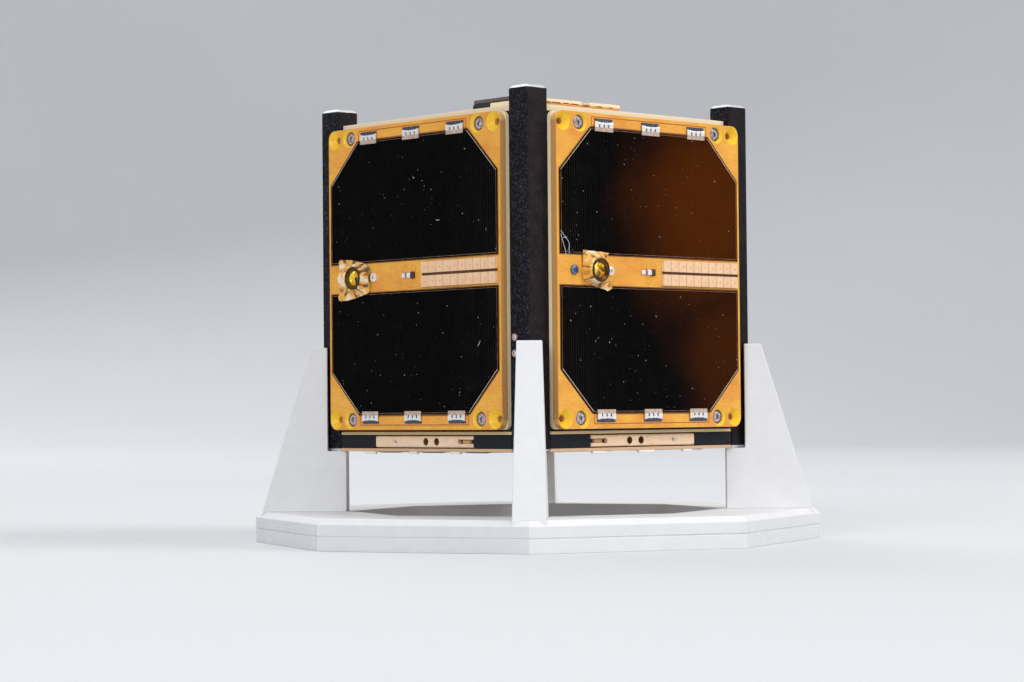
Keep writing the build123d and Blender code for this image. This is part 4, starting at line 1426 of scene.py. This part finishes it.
bottomPadSizes = {"yminus": ((-22.6, -16.9), (-1.9, 5.3), (18.6, 22.7)),
                  "xminus": ((-29.4, -24.1), (-7.2, -3.4), (12.6, 17.1)), "in": (0.35, 1.5), "low": 29.22,
                  "high": 30.02}
bottomPads = []
for side in sideTurns:
    bm = bmesh.new()
    for span in bottomPadSizes["yminus" if side.startswith("y") else "xminus"]:
        addBlock(bm, span, (bottomPadSizes["low"], bottomPadSizes["high"]),
                 (-bottomPadSizes["in"][1], -bottomPadSizes["in"][0]))
    bottomPads.append(laidOut(softened(toMesh(bm, "bottomPad"), 0.12, 2), sidePlace(side)))
makePiece("bottomPads", bottomPads, rowPlace, ["pale"])

# Caps are (left, right, count of fingers), fixings (across, width, height above the board, own height)
stripSizes = {"base": 0.9, "cap": 2.0, "rounding": 0.3, "span": (-47.0, -43.0), "middle": -45.0,
              "fingerPitch": 1.65, "foot": ((-41.0, -6.6), (-46.9, -43.0)),
              "side": ((-47.0, -45.8), (-41.0, -29.8)), "sideTop": 1.4, "fixingSpan": (-46.99, -46.6),
              "caps": ((-41.0, -23.3, 10), (-19.7, -6.3, 7)),
              "fixings": ((-38.2, 2.2, 0.80, 0.36), (-34.6, 3.6, 0.74, 0.40), (-30.4, 2.4, 0.84, 0.34),
                          (-26.6, 3.2, 0.78, 0.38), (-21.5, 2.6, 0.62, 0.46), (-15.6, 2.2, 0.80, 0.30),
                          (-10.4, 1.6, 0.80, 0.28))}


def stripMeshes():
    # Finish 1 is the plated fingers, 2 the amber base, 3 the dark fixings, 4 the cream caps
    bm = bmesh.new()
    low = topSizes["surface"]
    base = low + stripSizes["base"]
    cap = low + stripSizes["cap"]
    for left, right, count in stripSizes["caps"]:
        addBlock(bm, (left, right), stripSizes["span"], (base, cap), 4)
    addBlock(bm, *stripSizes["foot"], (low, base + 0.1), 2)
    addBlock(bm, *stripSizes["side"], (low, low + stripSizes["sideTop"]), 4)
    strips = softened(toMesh(bm, "strips"), stripSizes["rounding"], 2)
    bm = bmesh.new()
    addBlock(bm, (-0.55, 0.55), (-1.7, 1.7), (-0.02, 0.13))
    template = softened(toMesh(bm, "finger"), 0.04, 1)
    places = [(left + 1.1 + stripSizes["fingerPitch"] * finger, stripSizes["middle"], cap, 0)
              for left, right, count in stripSizes["caps"] for finger in range(count)]
    fingers = copiesAt(template, places, "gold", 1)
    bm = bmesh.new()
    for across, width, up, tall in stripSizes["fixings"]:
        span = (across - width / 2, across + width / 2)
        addBlock(bm, span, stripSizes["fixingSpan"], (low + up, low + up + tall), 3)
    fixings = softened(toMesh(bm, "fixings"), 0.1, 2)
    return [strips, fingers, fixings]


makePiece("topContactStrips", stripMeshes(), rowPlace,
          ["creamLevel", "gold", "stripBase", "darkBrown", "stripCap"], ["top_contact_strips"])


connectorSizes = {"across": (-45.8, -43.8), "along": (-41.0, -20.5), "step": 139.4, "top": 139.8,
                  "inset": 0.15, "legs": 11, "legPitch": 1.27, "firstLeg": -39.9}


def connectorMeshes():
    # Long low housing with a step along its top and a row of legs on the board beside it
    left, right = connectorSizes["across"]
    near, far = connectorSizes["along"]
    inset = connectorSizes["inset"]
    bm = bmesh.new()
    addBlock(bm, (left, right), (near, far), (topSizes["surface"], connectorSizes["step"]))
    addBlock(bm, (left + inset, right - inset), (near + 0.2, far - 0.2),
             (connectorSizes["step"] - 0.1, connectorSizes["top"]))
    body = softened(toMesh(bm, "body"), 0.15, 2)
    bm = bmesh.new()
    addBlock(bm, (-0.35, 0.05), (-0.22, 0.22), (0.0, 0.9))
    leg = softened(toMesh(bm, "leg"), 0.06, 2)
    places = [(right, connectorSizes["firstLeg"] + connectorSizes["legPitch"] * k, topSizes["surface"], 180)
              for k in range(connectorSizes["legs"])]
    legs = copiesAt(leg, places, "bright", 1)
    return [body, legs]


makePiece("topConnector", connectorMeshes(), rowPlace, ["connector", "bright"],
          ["top_connector"])
shell = softened(nodeCopy("top_connector_shell", rowPlace), 0.25, 2)
makePiece("topConnectorShell", [shell], rowPlace, ["bronze"], ["top_connector_shell"])
print("top and bottom made")


# Antenna module: frame, doors with their ties, pins and tapes

antennaSizes = {"frameRounding": 0.18, "doorRounding": 0.14, "tieAcross": 13.1, "doorMid": 33.2,
                "holes": ((-6.6, 1.3), (-1.4, 1.3), (13.1, 0.6)), "strap": (-21.9, -18.5),
                "strapOut": (-1.1, -0.45), "thread": 0.13}


def zoneFrame(mesh):
    # 0 is the frame, 1 the lugs that hold the door pins
    for polygon in mesh.polygons:
        along, out = sorted((abs(polygon.center.x), abs(polygon.center.y)))
        lug = 21.9 < along < 23.65 and out > 48.5 and abs(polygon.center.z - antennaSizes["doorMid"]) < 0.65
        polygon.material_index = 1 if lug else 0


antennaFrame = nodeCopy("antenna_frame", rowPlace)
zoneFrame(antennaFrame)
antennaFrame = softened(antennaFrame, antennaSizes["frameRounding"], 2, 40)
makePiece("antennaFrame", [antennaFrame], rowPlace, ["frameBlack", "strap"],
          ["antenna_frame"])


# Thread through a door's tie hole, with a small knot beside it: points across, up and out from the hole
tieRuns = (((0, 0, -1.4), (0, 0, -0.3), (0.15, -0.05, 0.16), (0.7, -0.25, 0.20), (1.15, 0.1, 0.26),
            (0.8, 0.45, 0.24), (0.4, 0.1, 0.34), (0.9, -0.3, 0.32), (1.5, -0.15, 0.20), (1.9, 0.25, 0.16)),
           ((-0.1, 0.1, -0.2), (-0.2, 0.5, 0.12), (0.1, 0.9, 0.14), (0.5, 0.7, 0.16), (0.75, 0.2, 0.22)))


def knotMeshes(hand):
    across = antennaSizes["tieAcross"]
    mid = antennaSizes["doorMid"]
    meshes = [threadAlong([(hand * (across + x), mid + y, z) for x, y, z in run], antennaSizes["thread"])
              for run in tieRuns]
    for mesh in meshes:
        mesh.shade_smooth()
    return meshes


def strapMesh(hand):
    # Strap that lies in the door's slot, from the pin to the slot's eye
    spans = sorted(hand * across for across in antennaSizes["strap"])
    mid = antennaSizes["doorMid"]
    bm = bmesh.new()
    addBlock(bm, spans, (mid - 0.72, mid + 0.5), antennaSizes["strapOut"])
    return softened(toMesh(bm, "strap"), 0.12, 2)


def zoneDoor(mesh, hand):
    # 0 is the door, 1 the walls of its round holes
    holes = [(hand * across, reach) for across, reach in antennaSizes["holes"]]
    for polygon in mesh.polygons:
        middle = polygon.center
        inside = any(math.hypot(middle.x - across, middle.y - antennaSizes["doorMid"]) < reach
                     for across, reach in holes)
        polygon.material_index = 1 if inside and abs(polygon.normal.z) < 0.5 else 0


for side in sideTurns:
    door = nodeCopy("antenna_door_" + side, sidePlace(side))
    zoneDoor(door, doorHands[side])
    door = softened(door, antennaSizes["doorRounding"], 2, 40)
    makePiece("antennaDoor_" + side, [door], sidePlace(side), ["door", "holeWall"],
              ["antenna_door_" + side], "door_" + side)
    makePiece("doorTie_" + side, knotMeshes(doorHands[side]), sidePlace(side), ["thread"], (),
              "door_" + side)
    makePiece("hingeStrap_" + side, [strapMesh(doorHands[side])], sidePlace(side), ["strap"], (),
              "door_" + side)
print("antenna module made")


# Contacts on the front rail

railContactSizes = {"across": 43.6, "up": (60.5, 65.5)}


def railContactMesh():
    # The contacts' pale rings and floors are painted glints, their dark sides and walls painted shade
    bm = bmesh.new()
    for up in railContactSizes["up"]:
        profile = [(0, -0.1), (1.3, -0.1), (1.3, 0.28), (1.17, 0.40), (0.96, 0.42), (0.85, 0.50),
                   (0.60, 0.50), (0.49, 0.24), (0, 0.16)]
        addTurned(bm, (railContactSizes["across"], up), profile, 28, bands=[1, 1, 1, 1, 0, 0, 1, 0])
    return smoothed(toMesh(bm, "railContacts"), 35)


makePiece("railContacts", [railContactMesh()], sidePlace("xminus"),
          ["steelPaintedGlint", "steelPaintedShade"], ["rail_contact_pins"])


# Display stand

standSizes = {"rounding": 0.45, "postRounding": 0.28}
ring = softened(nodeCopy("stand_ring", rowPlace), standSizes["rounding"], 3, 25)
makePiece("standRing", [ring], rowPlace, ["white"], ["stand_ring"])
for corner in cornerNames:
    node = "stand_post_" + corner
    post = softened(nodeCopy(node, rowPlace), standSizes["postRounding"], 3, 25)
    makePiece("standPost_" + corner, [post], rowPlace, ["white"], [node])
print("stand made")


# CAD nodes that stay as they are get their finish here

keptFinishes = {"lower_frame_bars": "bar", "upper_frame_bars": "bar", "electronics_stack": "stack",
                "stack_spacers": "bright", "hinge_pins": "bright", "antenna_tapes": "tape"}
for node, finish in keptFinishes.items():
    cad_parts[node].material_slots[0].material = finishes[finish]


# Camera at the photograph's place and angle

cameraSizes = {"place": (-623.9, -656.4, 42.8), "heading": (0.683, 0.731), "pitch": 1.47, "roll": -0.519,
               "lens": 95.75, "sensor": 36.0}


def addCamera():
    data = bpy.data.cameras.new("camera")
    data.lens = cameraSizes["lens"]
    data.sensor_width = cameraSizes["sensor"]
    data.clip_start = 0.05
    data.clip_end = 30
    camera = linked("camera", data)
    heading = Vector((*cameraSizes["heading"], 0)).normalized()
    pitch = math.radians(cameraSizes["pitch"])
    forward = heading * math.cos(pitch) + Vector((0, 0, math.sin(pitch)))
    right = forward.cross(Vector((0, 0, 1))).normalized()
    up = right.cross(forward)
    roll = math.radians(cameraSizes["roll"])
    across = right * math.cos(roll) + up * math.sin(roll)
    upward = up * math.cos(roll) - right * math.sin(roll)
    turn = Matrix((across, upward, -forward)).transposed().to_4x4()
    camera.matrix_world = Matrix.Translation(Vector(cameraSizes["place"]) * mm) @ turn
    bpy.context.scene.camera = camera


addCamera()


# Studio: pale bowl, soft lamps, plain world

bowlSizes = {"flat": 2.2, "arc": 1.2, "height": 3.2, "steps": 96, "arcSteps": 14, "glow": 0.25}


def addBowl():
    profile = [(0.0, 0.0), (1.0, 0.0), (bowlSizes["flat"], 0.0)]
    for step in range(1, bowlSizes["arcSteps"] + 1):
        angle = math.pi / 2 * step / bowlSizes["arcSteps"]
        profile.append((bowlSizes["flat"] + bowlSizes["arc"] * math.sin(angle),
                        bowlSizes["arc"] * (1 - math.cos(angle))))
    profile.append((bowlSizes["flat"] + bowlSizes["arc"], bowlSizes["height"]))
    bm = bmesh.new()
    before = None
    for radius, height in profile:
        if radius == 0:
            ring = [bm.verts.new((0, 0, height))]
        else:
            ring = ringOf(bm, (0, 0), radius, height, bowlSizes["steps"])
        if before:
            joinRings(bm, ring, before)
        before = ring
    mesh = freed(bm, "bowl")
    mesh.shade_smooth()
    bowl = linked("studioBowl", mesh)
    material, tree, shader, where = startMaterial("bowlPaper", Specular_IOR_Level=0.1, Roughness=0.9)
    tone = mixed(tree, grain(tree, where, 400.0, 2.0), (0.56, 0.57, 0.59), (0.60, 0.61, 0.63))
    paint(tree, shader, "Base Color", tone)
    paint(tree, shader, "Emission Color", tone)
    rays = shaderNode(tree, "LightPath").outputs
    seen = maths(tree, "MAXIMUM", rays["Is Camera Ray"], maths(tree, "MAXIMUM", rays["Is Glossy Ray"],
                                                               rays["Is Transmission Ray"]))
    paint(tree, shader, "Emission Strength", maths(tree, "MULTIPLY", seen, bowlSizes["glow"]))
    mesh.materials.append(material)


addBowl()

lamps = {
    "key": {"place": (1.0, -1.9, 1.5), "size": 1.1, "power": 32, "tint": (1.0, 0.985, 0.96)},
    "fill": {"place": (-2.0, -0.9, 1.1), "size": 1.2, "power": 20.5, "tint": (0.97, 0.985, 1.0)},
    "top": {"place": (0.0, 0.0, 2.4), "size": 1.6, "power": 19, "tint": (1.0, 1.0, 1.0)},
    "behind": {"place": (0.8, 2.1, 1.4), "size": 1.6, "power": 21, "tint": (1.0, 1.0, 1.0)},
}
for name, lamp in lamps.items():
    data = bpy.data.lights.new(name, "AREA")
    data.size = lamp["size"]
    data.energy = lamp["power"]
    data.color = lamp["tint"]
    light = linked(name, data)
    light.location = lamp["place"]
    aim = Vector((0, 0, 0.08)) - Vector(lamp["place"])
    light.rotation_euler = aim.to_track_quat("-Z", "Y").to_euler()

world = bpy.data.worlds.new("studio")
bpy.context.scene.world = world
world.use_nodes = True
world.node_tree.nodes["Background"].inputs["Color"].default_value = (0.95, 0.97, 1.0, 1.0)
world.node_tree.nodes["Background"].inputs["Strength"].default_value = 0.34
bpy.context.scene.view_settings.view_transform = "Standard"
print("camera and studio made")
